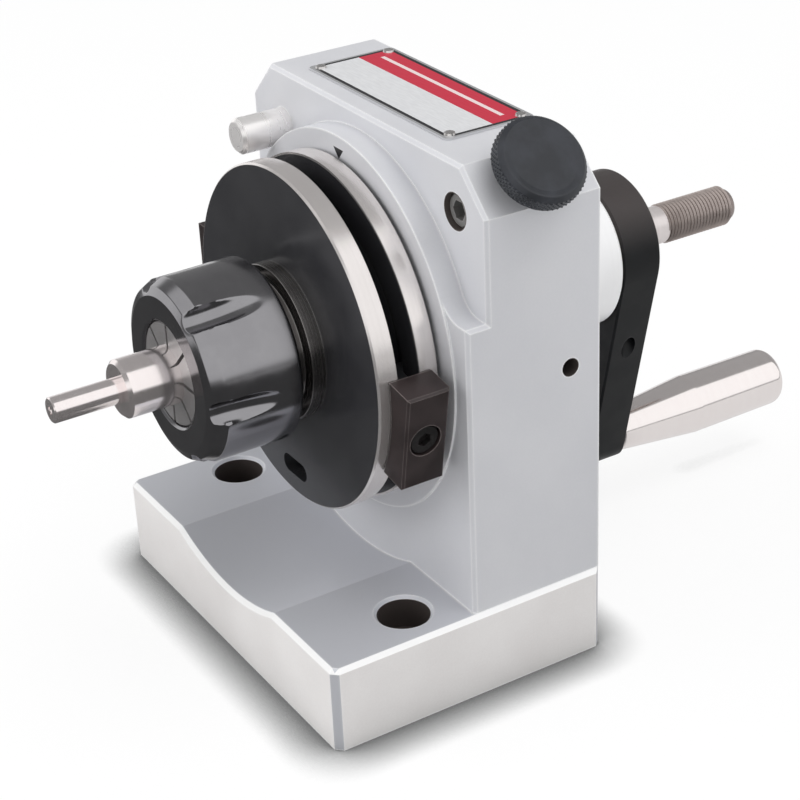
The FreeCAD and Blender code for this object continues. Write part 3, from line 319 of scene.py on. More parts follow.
def turnedSteel(name, look):
    # Bright turned or ground steel with fine rings round one axis
    material, tree, shader = newFinish(name)
    grain, radius = latheGrain(tree, look["centre"], look["axis"], look["pitch"])
    coordinates = placeOf(tree)[0]
    cloud = noiseNode(tree, coordinates, look["cloudScale"], 3.0)
    blend = blended(tree, cloud, grain, look["cloudShare"], 0.3, 0.7)
    plain = mixColour(tree, blend, look["dark"], look["pale"])
    edgeWearAndHighlight = plain
    if look["edgeStrength"]:
        edges = edgeMask(tree, look["edgeRadius"], look["edgeStrength"])
        edgeWearAndHighlight = mixColour(tree, edges, plain, look["edge"])
    if "crest" in look:
        # Painted shade: threads keep their colour at the crests and are painted darker below them, in
        # the roots and on all inside the root radius
        depth = rangeNode(tree, radius, look["root"], look["crest"])
        edgeWearAndHighlight = mixColour(tree, depth, look["rootShade"], edgeWearAndHighlight)
    join(tree, edgeWearAndHighlight, shader.inputs["Base Color"])
    shader.inputs["Metallic"].default_value = look["metallic"]
    roughness = rangeNode(tree, blend, 0, 1, look["roughLow"], look["roughHigh"])
    join(tree, roughness, shader.inputs["Roughness"])
    join(tree, bumpFrom(tree, grain, look["bump"], look["bumpDepth"]), shader.inputs["Normal"])
    return material


def blackOxide(name, look):
    # Blued black steel: faint cloudy sheen, lighter along its edges as wear and as painted highlight
    material, tree, shader = newFinish(name)
    coordinates = placeOf(tree)[0]
    cloud = noiseNode(tree, coordinates, look["cloudScale"], 5.0)
    speck = noiseNode(tree, coordinates, look["speckScale"], 2.0)
    blend = rangeNode(tree, cloud, 0.35, 0.68)
    plain = mixColour(tree, blend, look["dark"], look["pale"])
    if "hubSheen" in look:
        # Painted sheen: the upper end is painted lighter and browner
        sheenShare = rangeNode(tree, placeOf(tree)[3], look["sheenFoot"], look["sheenTop"])
        plain = mixColour(tree, sheenShare, plain, look["hubSheen"])
    edges = edgeMask(tree, look["edgeRadius"], look["edgeStrength"])
    edgeWearAndHighlight = both(tree, edges, rangeNode(tree, cloud, 0.3, 0.6, 0.45, 1.0))
    join(tree, mixColour(tree, edgeWearAndHighlight, plain, look["edge"]), shader.inputs["Base Color"])
    shader.inputs["Metallic"].default_value = look["metallic"]
    shader.inputs["Specular IOR Level"].default_value = look["shine"]
    roughness = rangeNode(tree, blend, 0, 1, look["roughLow"], look["roughHigh"])
    join(tree, roughness, shader.inputs["Roughness"])
    join(tree, bumpFrom(tree, speck, look["bump"], look["bumpDepth"]), shader.inputs["Normal"])
    return material


spindleLine = {"centre": (0, 0, spindleHeight), "axis": (0, 1, 0)}
handleLine = {"centre": tuple(middleOf("crank_handle")), "axis": (0, 1, 0)}
pinLine = {"centre": tuple(middleOf("stop_pin")), "axis": (0, 1, 0)}
plungerTurn = math.sqrt(0.5)
plungerLine = {"centre": tuple(middleOf("plunger_knob")), "axis": (plungerTurn, 0, plungerTurn)}

# Looks of the turned pieces: colours, rings and how they shine
brightLook = {"pale": (0.74, 0.72, 0.71, 1), "dark": (0.60, 0.58, 0.57, 1),
              "edge": (0.9, 0.9, 0.9, 1), "metallic": 0.95, "roughLow": 0.20, "roughHigh": 0.30,
              "pitch": 0.0004, "bump": 0.15, "edgeRadius": 0.0002, "edgeStrength": 1.5,
              "cloudScale": 160, "cloudShare": 0.35, "bumpDepth": 0.02 * mm}
spindleSteel = {**brightLook, "pale": (0.24, 0.23, 0.225, 1), "dark": (0.17, 0.16, 0.155, 1),
                "bump": 0.03, "edge": (0.95, 0.92, 0.90, 1), "edgeRadius": 0.0003,
                "edgeStrength": 5.0}
pinLook = {**brightLook, "pale": (0.93, 0.91, 0.90, 1), "dark": (0.92, 0.90, 0.89, 1),
           "metallic": 0.6, "roughLow": 0.27, "roughHigh": 0.29, "pitch": 0.0012, "bump": 0.0,
           "edgeStrength": 0.0}
colletLook = {**brightLook, "pale": (0.55, 0.54, 0.54, 1), "dark": (0.46, 0.44, 0.44, 1),
              "metallic": 0.75, "roughLow": 0.28, "roughHigh": 0.38, "pitch": 0.0005, "bump": 0.2}
punchLook = {**brightLook, "pale": (0.95, 0.885, 0.875, 1), "dark": (0.93, 0.86, 0.85, 1),
             "metallic": 0.92, "roughLow": 0.14, "roughHigh": 0.18, "pitch": 0.0012, "bump": 0.0,
             "edgeStrength": 0.0}
handleLook = {**brightLook, "pale": (0.95, 0.895, 0.88, 1), "dark": (0.93, 0.87, 0.855, 1),
              "metallic": 0.9, "roughLow": 0.09, "roughHigh": 0.13, "pitch": 0.0012, "bump": 0.0,
              "edgeStrength": 0.0}
studLook = {**brightLook, "pale": (0.80, 0.745, 0.735, 1), "dark": (0.74, 0.685, 0.675, 1),
            "metallic": 0.5, "roughLow": 0.28, "roughHigh": 0.34, "pitch": 0.0012, "bump": 0.0,
            "edgeStrength": 0.0, "rootShade": (0.30, 0.25, 0.235, 1), "root": 4.5 * mm, "crest": 4.66 * mm}
sleeveLook = {**brightLook, "pale": (0.93, 0.93, 0.935, 1), "dark": (0.89, 0.89, 0.895, 1),
              "metallic": 0.25, "roughLow": 0.42, "roughHigh": 0.5, "pitch": 0.002, "bump": 0.0}
threadLook = {**brightLook, "pale": (0.54, 0.47, 0.44, 1), "dark": (0.44, 0.375, 0.35, 1),
              "metallic": 0.6, "edge": (0.62, 0.55, 0.52, 1), "roughLow": 0.3, "roughHigh": 0.42,
              "bump": 0.0, "rootShade": (0.10, 0.07, 0.058, 1), "root": 4.5 * mm, "crest": 4.69 * mm}
noseLook = {**threadLook, "pale": (0.80, 0.77, 0.75, 1), "dark": (0.66, 0.63, 0.61, 1),
            "metallic": 0.9, "rootShade": (0.035, 0.033, 0.033, 1), "root": 15.5 * mm, "crest": 15.85 * mm}
bronzeLook = {**brightLook, "pale": (0.66, 0.43, 0.20, 1), "dark": (0.50, 0.31, 0.14, 1),
              "edge": (0.75, 0.52, 0.28, 1), "roughLow": 0.28, "roughHigh": 0.4}

# Looks of the blued and blackened pieces, which still reflect a little like metal
oxideLook = {"pale": (0.034, 0.034, 0.037, 1), "dark": (0.018, 0.018, 0.020, 1),
             "edge": (0.16, 0.16, 0.17, 1), "metallic": 0.3, "roughLow": 0.24, "roughHigh": 0.36,
             "edgeRadius": 0.0004, "edgeStrength": 1.6, "bump": 0.05, "bumpDepth": 0.01 * mm,
             "shine": 0.5, "cloudScale": 120, "speckScale": 2600}
nutOxide = {**oxideLook, "pale": (0.32, 0.315, 0.328, 1), "dark": (0.29, 0.285, 0.298, 1),
            "edge": (0.38, 0.38, 0.39, 1), "metallic": 1.0, "roughLow": 0.14, "roughHigh": 0.19,
            "edgeRadius": 0.0003, "edgeStrength": 0.5, "bump": 0.02}
dogLook = {**oxideLook, "pale": (0.038, 0.027, 0.027, 1), "dark": (0.024, 0.017, 0.017, 1),
           "edge": (0.34, 0.29, 0.28, 1), "metallic": 0.1, "roughLow": 0.34, "roughHigh": 0.48,
           "edgeStrength": 2.4}
# The crank arm's upper end carries a painted sheen, lighter and browner
armLook = {**oxideLook, "pale": (0.007, 0.0078, 0.009, 1), "dark": (0.004, 0.0045, 0.0055, 1),
           "hubSheen": (0.060, 0.052, 0.051, 1), "sheenFoot": spindleHeight + 2 * mm,
           "sheenTop": spindleHeight + 15 * mm,
           "edge": (0.07, 0.07, 0.075, 1), "metallic": 0.0, "roughLow": 0.36, "roughHigh": 0.48,
           "edgeRadius": 0.0005, "edgeStrength": 1.2, "bump": 0.08, "shine": 0.25}
knobLook = {**oxideLook, "pale": (0.034, 0.037, 0.046, 1), "dark": (0.018, 0.020, 0.025, 1),
            "edge": (0.20, 0.21, 0.23, 1), "metallic": 0.0, "roughLow": 0.38, "roughHigh": 0.5,
            "edgeRadius": 0.0004, "edgeStrength": 1.4, "bump": 0.10}
screwLook = {**oxideLook, "pale": (0.050, 0.050, 0.054, 1), "dark": (0.026, 0.026, 0.029, 1),
             "edge": (0.20, 0.20, 0.20, 1), "metallic": 0.2, "roughLow": 0.28, "roughHigh": 0.4,
             "edgeRadius": 0.0003, "edgeStrength": 1.4}
dogScrewLook = {**screwLook, "pale": (0.022, 0.020, 0.020, 1), "dark": (0.012, 0.011, 0.011, 1),
                "edge": (0.07, 0.065, 0.065, 1)}
lockScrewLook = {**screwLook, "pale": (0.24, 0.235, 0.23, 1), "dark": (0.17, 0.165, 0.16, 1),
                 "edge": (0.50, 0.49, 0.48, 1), "metallic": 0.3}

discLook = {"rim": (0.86, 0.82, 0.805, 1), "rimDark": (0.78, 0.74, 0.725, 1),
            "black": (0.034, 0.034, 0.037, 1), "blackDark": (0.027, 0.027, 0.030, 1),
            "rimDepth": 0.45 * mm, "blur": 0.06 * mm, "rimMetal": 0.8, "pitch": 0.4 * mm,
            "cloudScale": 90, "roughLow": 0.20, "roughHigh": 0.26}


def discFinish():
    # Black faces and groove, bright ground rims
    material, tree, shader = newFinish("discFinish")
    look = discLook
    grain, radius = latheGrain(tree, spindleLine["centre"], spindleLine["axis"], look["pitch"])
    edge = halfWidth("stop_disc") - look["rimDepth"]
    rim = rangeNode(tree, radius, edge - look["blur"], edge + look["blur"])
    cloud = noiseNode(tree, placeOf(tree)[0], look["cloudScale"], 4.0)
    black = mixColour(tree, rangeNode(tree, cloud, 0.35, 0.68), look["blackDark"], look["black"])
    bright = mixColour(tree, grain, look["rimDark"], look["rim"])
    join(tree, mixColour(tree, rim, black, bright), shader.inputs["Base Color"])
    join(tree, both(tree, rim, look["rimMetal"]), shader.inputs["Metallic"])
    roughness = rangeNode(tree, cloud, 0.3, 0.7, look["roughLow"], look["roughHigh"])
    join(tree, roughness, shader.inputs["Roughness"])
    return material


plateLook = {"silver": (0.68, 0.685, 0.70, 1), "white": (0.75, 0.755, 0.77, 1),
             "red": (0.58, 0.020, 0.052, 1), "pink": (0.86, 0.72, 0.72, 1),
             "inkAndMarkShade": (0.015, 0.015, 0.018, 1), "margin": 0.7 * mm, "line": 0.9 * mm,
             "corner": 2.2 * mm, "bandDepth": 9.2 * mm, "ruleSpot": 0.5, "ruleWidth": 0.6,
             "ruleLength": 0.86, "brush": (300, 2400, 1), "metallic": 0.75, "printDrop": 0.6,
             "roughLow": 0.28, "roughHigh": 0.38}


def plateFinish():
    # A plain printed plate without lettering: black border, pale front band, and red rear band with
    # one light rule
    look = plateLook
    material, tree, shader = newFinish("plateFinish")
    coordinates, x, y, z = placeOf(tree)
    low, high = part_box("nameplate")
    centre = (low + high) / 2
    halfX = (high.x - low.x) / 2 - look["margin"]
    halfY = (high.y - low.y) / 2 - look["margin"]
    acrossX = farFrom(tree, x, centre.x)
    acrossY = farFrom(tree, y, centre.y)
    overX = mathNode(tree, "MAXIMUM", mathNode(tree, "SUBTRACT", acrossX, halfX - look["corner"]), 0.0)
    overY = mathNode(tree, "MAXIMUM", mathNode(tree, "SUBTRACT", acrossY, halfY - look["corner"]), 0.0)
    reach = mathNode(tree, "SQRT", mathNode(tree, "ADD", squared(tree, overX), squared(tree, overY)))
    inside = mathNode(tree, "LESS_THAN", reach, look["corner"])
    printed = mathNode(tree, "LESS_THAN", reach, look["corner"] - look["line"])
    bandFront = centre.y + halfY - look["bandDepth"]
    band = mathNode(tree, "GREATER_THAN", y, bandFront)
    ruleAt = bandFront + look["bandDepth"] * look["ruleSpot"]
    ruleHalf = look["line"] * look["ruleWidth"]
    rule = both(tree, mathNode(tree, "LESS_THAN", farFrom(tree, y, ruleAt), ruleHalf),
                mathNode(tree, "LESS_THAN", acrossX, halfX * look["ruleLength"]))
    speck = noiseNode(tree, stretched(tree, coordinates, look["brush"]), 1, 2.0)
    white = mixColour(tree, rangeNode(tree, speck, 0.3, 0.7), look["silver"], look["white"])
    bands = mixColour(tree, band, white, mixColour(tree, rule, look["red"], look["pink"]))
    framed = mixColour(tree, printed, look["inkAndMarkShade"], bands)
    join(tree, mixColour(tree, inside, look["silver"], framed), shader.inputs["Base Color"])
    metallic = mathNode(tree, "SUBTRACT", look["metallic"], both(tree, inside, look["printDrop"]))
    join(tree, metallic, shader.inputs["Metallic"])
    roughness = rangeNode(tree, speck, 0.3, 0.7, look["roughLow"], look["roughHigh"])
    join(tree, roughness, shader.inputs["Roughness"])
    return material


finishes = {
    "groundSteel": groundSteel(),
    "bright": turnedSteel("brightSteel", {**brightLook, **spindleLine}),
    "spindle": turnedSteel("spindleSteel", {**spindleSteel, **spindleLine}),
    "pin": turnedSteel("pinSteel", {**pinLook, **pinLine}),
    "collet": turnedSteel("colletSteel", {**colletLook, **spindleLine}),
    "punch": turnedSteel("punchSteel", {**punchLook, **spindleLine}),
    "handle": turnedSteel("handleSteel", {**handleLook, **handleLine}),
    "sleeve": turnedSteel("sleeveSteel", {**sleeveLook, **spindleLine}),
    "stud": turnedSteel("studSteel", {**studLook, **spindleLine}),
    "thread": turnedSteel("threadSteel", {**threadLook, **spindleLine}),
    "nose": turnedSteel("noseSteel", {**noseLook, **spindleLine}),
    "stem": turnedSteel("stemSteel", {**brightLook, **plungerLine}),
    "bronze": turnedSteel("bearingBronze", {**bronzeLook, **spindleLine}),
    "nut": blackOxide("nutOxide", nutOxide),
    "dog": blackOxide("dogOxide", dogLook),
    "arm": blackOxide("armOxide", armLook),
    "knob": blackOxide("knobOxide", knobLook),
    "screw": blackOxide("screwOxide", screwLook),
    "dogScrew": blackOxide("dogScrewOxide", dogScrewLook),
    "lockScrew": blackOxide("lockScrewSteel", lockScrewLook),
    "disc": discFinish(),
    "plate": plateFinish(),
}
print("finishes made:", len(finishes))


# Mesh building

def finishPiece(name, mesh, finish, body, replaced=()):
    piece = bpy.data.objects.new(name, mesh)
    bpy.context.scene.collection.objects.link(piece)
    piece.data.materials.clear()
    piece.data.materials.append(finishes[finish])
    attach(piece, body)
    if replaced:
        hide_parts(*replaced)
    return piece


def smoothed(mesh, angle=28):
    mesh.shade_smooth()
    mesh.set_sharp_from_angle(angle=math.radians(angle))
    return mesh


def outwards(mesh):
    # Merges doubled points and turns all faces out
    work = bmesh.new()
    work.from_mesh(mesh)
    bmesh.ops.remove_doubles(work, verts=work.verts, dist=1e-7)
    bmesh.ops.recalc_face_normals(work, faces=work.faces)
    work.to_mesh(mesh)
    work.free()
    return mesh


def rounded(points, steps=5):
    # Profile corners given as (radius, station, fillet) turned into short arcs
    out = []
    count = len(points)
    for index, (radius, station, fillet) in enumerate(points):
        here = Vector((radius, station))
        if not fillet:
            out.append(here)
            continue
        before = (Vector(points[index - 1][:2]) - here).normalized()
        after = (Vector(points[(index + 1) % count][:2]) - here).normalized()
        half = before.angle(after) / 2
        reach = fillet / math.tan(half)
        middle = here + (before + after).normalized() * (fillet / math.sin(half))
        first, last = here + before * reach - middle, here + after * reach - middle
        sweep = first.angle_signed(last)
        for step in range(steps + 1):
            spot = first.copy()
            spot.rotate(Matrix.Rotation(-sweep * step / steps, 2))
            out.append(middle + spot)
    return out


def alongAxis(centre, direction, outward):
    # Local x is outward and local z runs along the direction
    z = Vector(direction).normalized()
    x = Vector(outward).normalized()
    y = z.cross(x)
    return Matrix.Translation(centre) @ Matrix((x, y, z)).transposed().to_4x4()


def latheMesh(name, profile, place, steps=192):
    # A closed turned solid. Points on the axis become one pole.
    rings = []
    verts = []
    for point in profile:
        if point.x < 1e-7:
            rings.append([len(verts)])
            verts.append((0, 0, point.y))
        else:
            first = len(verts)
            rings.append(list(range(first, first + steps)))
            for step in range(steps):
                angle = 2 * math.pi * step / steps
                verts.append((point.x * math.cos(angle), point.x * math.sin(angle), point.y))
    faces = []
    for index, ring in enumerate(rings):
        other = rings[(index + 1) % len(rings)]
        if len(ring) == 1 and len(other) == 1:
            continue
        for step in range(steps):
            follow = (step + 1) % steps
            if len(ring) == 1:
                faces.append((ring[0], other[step], other[follow]))
            elif len(other) == 1:
                faces.append((ring[step], other[0], ring[follow]))
            else:
                faces.append((ring[step], other[step], other[follow], ring[follow]))
    mesh = bpy.data.meshes.new(name)
    mesh.from_pydata(verts, [], faces)
    mesh.transform(place)
    return smoothed(outwards(mesh))


def plainMesh(source):
    # The evaluated object as a mesh of its own
    depsgraph = bpy.context.evaluated_depsgraph_get()
    return bpy.data.meshes.new_from_object(source.evaluated_get(depsgraph))


spindlePlace = alongAxis((0, 0, spindleHeight), (0, 1, 0), (1, 0, 0))


# Geometry Nodes

def newTree(name, inputs):
    tree = bpy.data.node_groups.new(name, "GeometryNodeTree")
    tree.interface.new_socket("Geometry", in_out="OUTPUT", socket_type="NodeSocketGeometry")
    tree.interface.new_socket("Geometry", in_out="INPUT", socket_type="NodeSocketGeometry")
    for label, kind in inputs:
        tree.interface.new_socket(label, in_out="INPUT", socket_type="NodeSocket" + kind)
    return tree, addNode(tree, "NodeGroupInput"), addNode(tree, "NodeGroupOutput")


def grownMesh(name, tree, values, finish):
    # Runs the tree on an empty mesh and keeps the result as plain mesh data
    holder = bpy.data.objects.new(name + "Holder", bpy.data.meshes.new(name + "Seed"))
    bpy.context.scene.collection.objects.link(holder)
    modifier = holder.modifiers.new("grow", "NODES")
    modifier.node_group = tree
    for item in tree.interface.items_tree:
        if item.in_out == "INPUT" and item.name in values:
            modifier[item.identifier] = values[item.name]
    mesh = plainMesh(holder)
    mesh.name = name
    bpy.data.objects.remove(holder)
    mesh.materials.clear()
    mesh.materials.append(finish)
    return mesh


def endTree(tree, output, geometry, finish):
    real = addNode(tree, "GeometryNodeRealizeInstances")
    painted = addNode(tree, "GeometryNodeSetMaterial")
    painted.inputs["Material"].default_value = finish
    join(tree, geometry, real.inputs[0])
    join(tree, real.outputs[0], painted.inputs["Geometry"])
    join(tree, painted.outputs[0], output.inputs[0])


turnSteps = 72  # straight pieces in one turn of a thread


def threadTree(finish):
    # A right-hand ridge of diamond section wound along z
    inputs = [(label, "Float") for label in ("Turns", "Length", "Radius", "Depth")]
    tree, given, output = newTree("threadRidge", inputs)
    spiral = addNode(tree, "GeometryNodeCurveSpiral")
    spiral.inputs["Resolution"].default_value = turnSteps
    for label, target in (("Turns", "Rotations"), ("Length", "Height"), ("Radius", "Start Radius"),
                          ("Radius", "End Radius")):
        join(tree, given.outputs[label], spiral.inputs[target])
    upright = addNode(tree, "GeometryNodeSetCurveNormal", mode="Z_UP")
    join(tree, spiral.outputs[0], upright.inputs["Curve"])
    section = addNode(tree, "GeometryNodeCurvePrimitiveCircle")
    section.inputs["Resolution"].default_value = 4
    join(tree, given.outputs["Depth"], section.inputs["Radius"])
    sweep = addNode(tree, "GeometryNodeCurveToMesh")
    sweep.inputs["Fill Caps"].default_value = True
    join(tree, upright.outputs[0], sweep.inputs["Curve"])
    join(tree, section.outputs[0], sweep.inputs["Profile Curve"])
    endTree(tree, output, sweep.outputs[0], finish)
    return tree


def knurlTree(finish):
    # Rows of four-sided points round a rim, every other row moved on by half a step
    inputs = [("Count", "Int"), ("Rows", "Int")]
    inputs += [(label, "Float") for label in ("Radius", "Pitch", "Rise", "Tip")]
    tree, given, output = newTree("diamondKnurl", inputs)
    total = mathNode(tree, "MULTIPLY", given.outputs["Count"], given.outputs["Rows"])
    points = addNode(tree, "GeometryNodePoints")
    join(tree, total, points.inputs["Count"])
    index = addNode(tree, "GeometryNodeInputIndex").outputs[0]
    column = mathNode(tree, "FLOOR", mathNode(tree, "DIVIDE", mathNode(tree, "ADD", index, 0.5),
                                              given.outputs["Rows"]))
    row = mathNode(tree, "SUBTRACT", index, mathNode(tree, "MULTIPLY", column, given.outputs["Rows"]))
    odd = mathNode(tree, "MODULO", row, 2.0)
    moved = mathNode(tree, "ADD", column, mathNode(tree, "MULTIPLY", odd, 0.5))
    share = mathNode(tree, "DIVIDE", moved, given.outputs["Count"])
    angle = mathNode(tree, "MULTIPLY", share, 2 * math.pi)
    half = mathNode(tree, "MULTIPLY", given.outputs["Pitch"], 0.5)
    height = mathNode(tree, "MULTIPLY", mathNode(tree, "ADD", row, 0.5), half)
    spot = addNode(tree, "ShaderNodeCombineXYZ")
    for socket, operation in zip(spot.inputs, ("COSINE", "SINE")):
        join(tree, both(tree, given.outputs["Radius"], mathNode(tree, operation, angle)), socket)
    join(tree, height, spot.inputs[2])
    join(tree, spot.outputs[0], points.inputs["Position"])
    cone = addNode(tree, "GeometryNodeMeshCone", fill_type="NONE")
    cone.inputs["Vertices"].default_value = 4
    cone.inputs["Radius Bottom"].default_value = 1.0
    cone.inputs["Depth"].default_value = 1.0
    join(tree, given.outputs["Tip"], cone.inputs["Radius Top"])
    turn = addNode(tree, "ShaderNodeCombineXYZ")
    turn.inputs[1].default_value = math.pi / 2
    join(tree, angle, turn.inputs[2])
    size = addNode(tree, "ShaderNodeCombineXYZ")
    join(tree, half, size.inputs[0])
    join(tree, half, size.inputs[1])
    join(tree, given.outputs["Rise"], size.inputs[2])
    placed = addNode(tree, "GeometryNodeInstanceOnPoints")
    join(tree, points.outputs[0], placed.inputs["Points"])
    join(tree, cone.outputs["Mesh"], placed.inputs["Instance"])
    join(tree, turn.outputs[0], placed.inputs["Rotation"])
    join(tree, size.outputs[0], placed.inputs["Scale"])
    endTree(tree, output, placed.outputs[0], finish)
    return tree


# Clamping nut

nutLook = {"notches": 6, "firstNotch": 55.5, "cutter": 3.0 * mm, "depth": 2.7 * mm,
           "length": 17.5 * mm, "soft": 0.2 * mm, "around": 720, "faceRadius": 17.65 * mm,
           "bevelRadius": 19.6 * mm, "bevelDepth": 0.8 * mm, "bevelLength": 3.7 * mm,
           "opening": 12.1 * mm, "bore": 16.15 * mm, "lip": 12.2 * mm, "mouthDepth": 3.6 * mm,
           "wallRows": 46, "shortRows": 6, "ease": 0.5 * mm, "rearEase": 0.8 * mm,
           "lipLength": 2 * mm, "sharpAngle": 40}


def makeNut():
    low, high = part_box("collet_nut")
    front, rear = low.y, high.y
    radius = (high.x - low.x) / 2
    look = nutLook
    ease, rearEase = look["ease"], look["rearEase"]
    mouth = front + look["mouthDepth"]
    outer = rounded([
        (look["opening"], mouth, 0), (look["opening"], front + ease, 0.15 * mm),
        (look["opening"] + ease, front, 0.12 * mm), (look["faceRadius"], front, 0.3 * mm),
        (look["bevelRadius"], front + look["bevelDepth"], 0.6 * mm),
        (radius, front + look["bevelLength"], 1.2 * mm), (radius, rear - rearEase, 0.25 * mm),
        (radius - rearEase, rear, 0.2 * mm), (look["bore"] + ease, rear, 0.1 * mm),
        (look["bore"], rear - ease, 0), (look["bore"], mouth + look["lipLength"], 0),
        (look["lip"], mouth + look["lipLength"], 0)])
    dense = []
    for index, point in enumerate(outer):
        dense.append(point)
        follow = outer[(index + 1) % len(outer)]
        outside = min(point.x, follow.x) > look["faceRadius"]
        if outside and (follow - point).length > 1 * mm:
            rows = look["wallRows"] if abs(follow.y - point.y) > 5 * mm else look["shortRows"]
            dense += [point.lerp(follow, row / rows) for row in range(1, rows)]
    # Each notch is the track of a disc cutter that runs out of the wall at the notch's length
    sweep = (look["length"] ** 2 + look["depth"] ** 2) / (2 * look["depth"])
    around = look["around"]
    turns = np.arange(around) * 2 * math.pi / around
    step = 2 * math.pi / look["notches"]
    phase = (turns - math.radians(look["firstNotch"]) + step / 2) % step - step / 2
    verts = []
    for point in dense:
        back = max(point.y - front, 0)
        axis = radius - look["depth"] + sweep - math.sqrt((sweep - look["cutter"]) ** 2 - back ** 2)
        inside = look["cutter"] ** 2 - (axis * np.sin(phase)) ** 2
        wall = np.where(inside > 0, axis * np.cos(phase) - np.sqrt(np.maximum(inside, 0)), 1.0)
        soft = look["soft"]
        own = np.full(around, point.x)
        if point.x > look["faceRadius"] - ease:
            # A soft minimum of the turned form and the notch, kept where exp stays finite
            gap = np.clip((wall - own) / soft, -60, 60)
            own = own - soft * np.log1p(np.exp(-gap))
        verts += list(zip(own * np.cos(turns), own * np.sin(turns), np.full(around, point.y)))
    faces = []
    count = len(dense)
    for ring in range(count):
        follow = (ring + 1) % count
        for spot in range(around):
            beside = (spot + 1) % around
            faces.append((ring * around + spot, follow * around + spot, follow * around + beside,
                          ring * around + beside))
    mesh = bpy.data.meshes.new("clampingNut")
    mesh.from_pydata(verts, [], faces)
    # Local x points right and local y up, and the turns run counter-clockwise from the front
    turned = Matrix(((1, 0, 0, 0), (0, 0, 1, 0), (0, 1, 0, 0), (0, 0, 0, 1)))
    mesh.transform(Matrix.Translation((0, 0, spindleHeight)) @ turned)
    mesh = smoothed(outwards(mesh), look["sharpAngle"])
    finishPiece("clampingNut", mesh, "nut", "nut", ["collet_nut"])


# Spindle with its nose thread

spindleLook = {"nose": 16.0 * mm, "pitch": 1.5 * mm, "ridge": 0.72 * mm, "undercut": 15.0 * mm,
               "undercutLength": 1.4 * mm, "collarLength": 3.4 * mm, "seat": 17.0 * mm,
               "journal": 15.0 * mm, "waist": 13.0 * mm, "rear": 10.0 * mm, "waistFront": 15.5 * mm,
               "waistRear": 47.5 * mm, "mouth": 13.0 * mm, "tail": 9.1 * mm, "tailSpot": -8.4 * mm,
               "stud": 5.05 * mm, "studDepth": 16 * mm, "noseEase": 0.4 * mm, "noseLead": 0.5 * mm,
               "threadLead": 1.2 * mm, "threadGap": 0.1 * mm, "around": 128}


def makeSpindle():
    look = spindleLook
    front, rear = lowCorner("spindle").y, highCorner("spindle").y
    collar = halfWidth("spindle")
    discFront, discRear = lowCorner("stop_disc").y, highCorner("stop_disc").y
    collarFront = discFront - look["collarLength"]
    noseRear = collarFront - look["undercutLength"]
    core = look["nose"] - look["ridge"]
    profile = rounded([
        (look["mouth"], front, 0), (core - look["noseEase"], front, 0),
        (core, front + look["noseLead"], 0), (core, noseRear, 0), (look["undercut"], noseRear, 0),
        (look["undercut"], collarFront, 0.3 * mm), (collar, collarFront, 0.25 * mm),
        (collar, discFront, 0),
        (look["seat"], discFront, 0), (look["seat"], discRear, 0), (look["journal"], discRear, 0),
        (look["journal"], look["waistFront"], 0), (look["waist"], look["waistFront"], 0),
        (look["waist"], look["waistRear"], 0), (look["rear"], look["waistRear"], 0),
        (look["rear"], rear, 0.3 * mm), (look["stud"], rear, 0),
        (look["stud"], rear - look["studDepth"], 0),
        (look["tail"], look["tailSpot"], 0)])
    mesh = latheMesh("spindleBar", profile, spindlePlace, look["around"])
    finishPiece("spindleBar", mesh, "spindle", "spindle_unit", ["spindle"])
    start = front + look["threadLead"]
    end = noseRear - look["threadGap"]
    ridge = grownMesh("noseThread", threadTree(finishes["nose"]), {
        "Turns": (end - start) / look["pitch"], "Length": end - start, "Radius": core,
        "Depth": look["ridge"]}, finishes["nose"])
    ridge.transform(spindlePlace @ Matrix.Translation((0, 0, start)))
    finishPiece("noseThread", smoothed(ridge), "nose", "spindle_unit")


# Rear stud with its thread

studShape = {"neck": 4.7 * mm, "crest": 5.0 * mm, "pitch": 1.0 * mm, "ridge": 0.57 * mm,
             "neckLength": 12.6 * mm, "ease": 1.2 * mm, "slopeFront": 0.3 * mm, "slopeRear": 0.5 * mm,
             "around": 96}


def makeStud():
    look = studShape
    front, rear = lowCorner("rear_stud").y, highCorner("rear_stud").y
    shoulder = highCorner("spindle").y
    thread = shoulder + look["neckLength"]
    core = look["crest"] - look["ridge"]
    profile = rounded([
        (0, front, 0), (look["crest"], front, 0), (look["crest"], shoulder, 0),
        (look["neck"], shoulder, 0),
        (look["neck"], thread - look["slopeFront"], 0), (core, thread + look["slopeRear"], 0),
        (core, rear - look["ease"], 0),
        (look["crest"] - look["ease"], rear, 0.2 * mm), (0, rear, 0)])
    mesh = latheMesh("studBar", profile, spindlePlace, look["around"])
    finishPiece("studBar", mesh, "stud", "spindle_unit", ["rear_stud"])
    length = rear - look["ease"] - thread
    ridge = grownMesh("studThread", threadTree(finishes["thread"]), {
        "Turns": length / look["pitch"], "Length": length, "Radius": core, "Depth": look["ridge"]},
        finishes["thread"])
    ridge.transform(spindlePlace @ Matrix.Translation((0, 0, thread)))
    finishPiece("studThread", smoothed(ridge), "thread", "spindle_unit")


# Knurled plunger knob

knobShape = {"radius": 10.15 * mm, "height": 5.4 * mm, "ease": 1.0 * mm, "dish": 0.5 * mm,
             "points": 54, "rise": 0.32 * mm, "tip": 0.12, "sink": 0.02 * mm, "around": 144,
             "stem": 2.02 * mm, "stemDepth": 3.6 * mm, "dishEase": 2.4, "dishShoulder": 0.6}


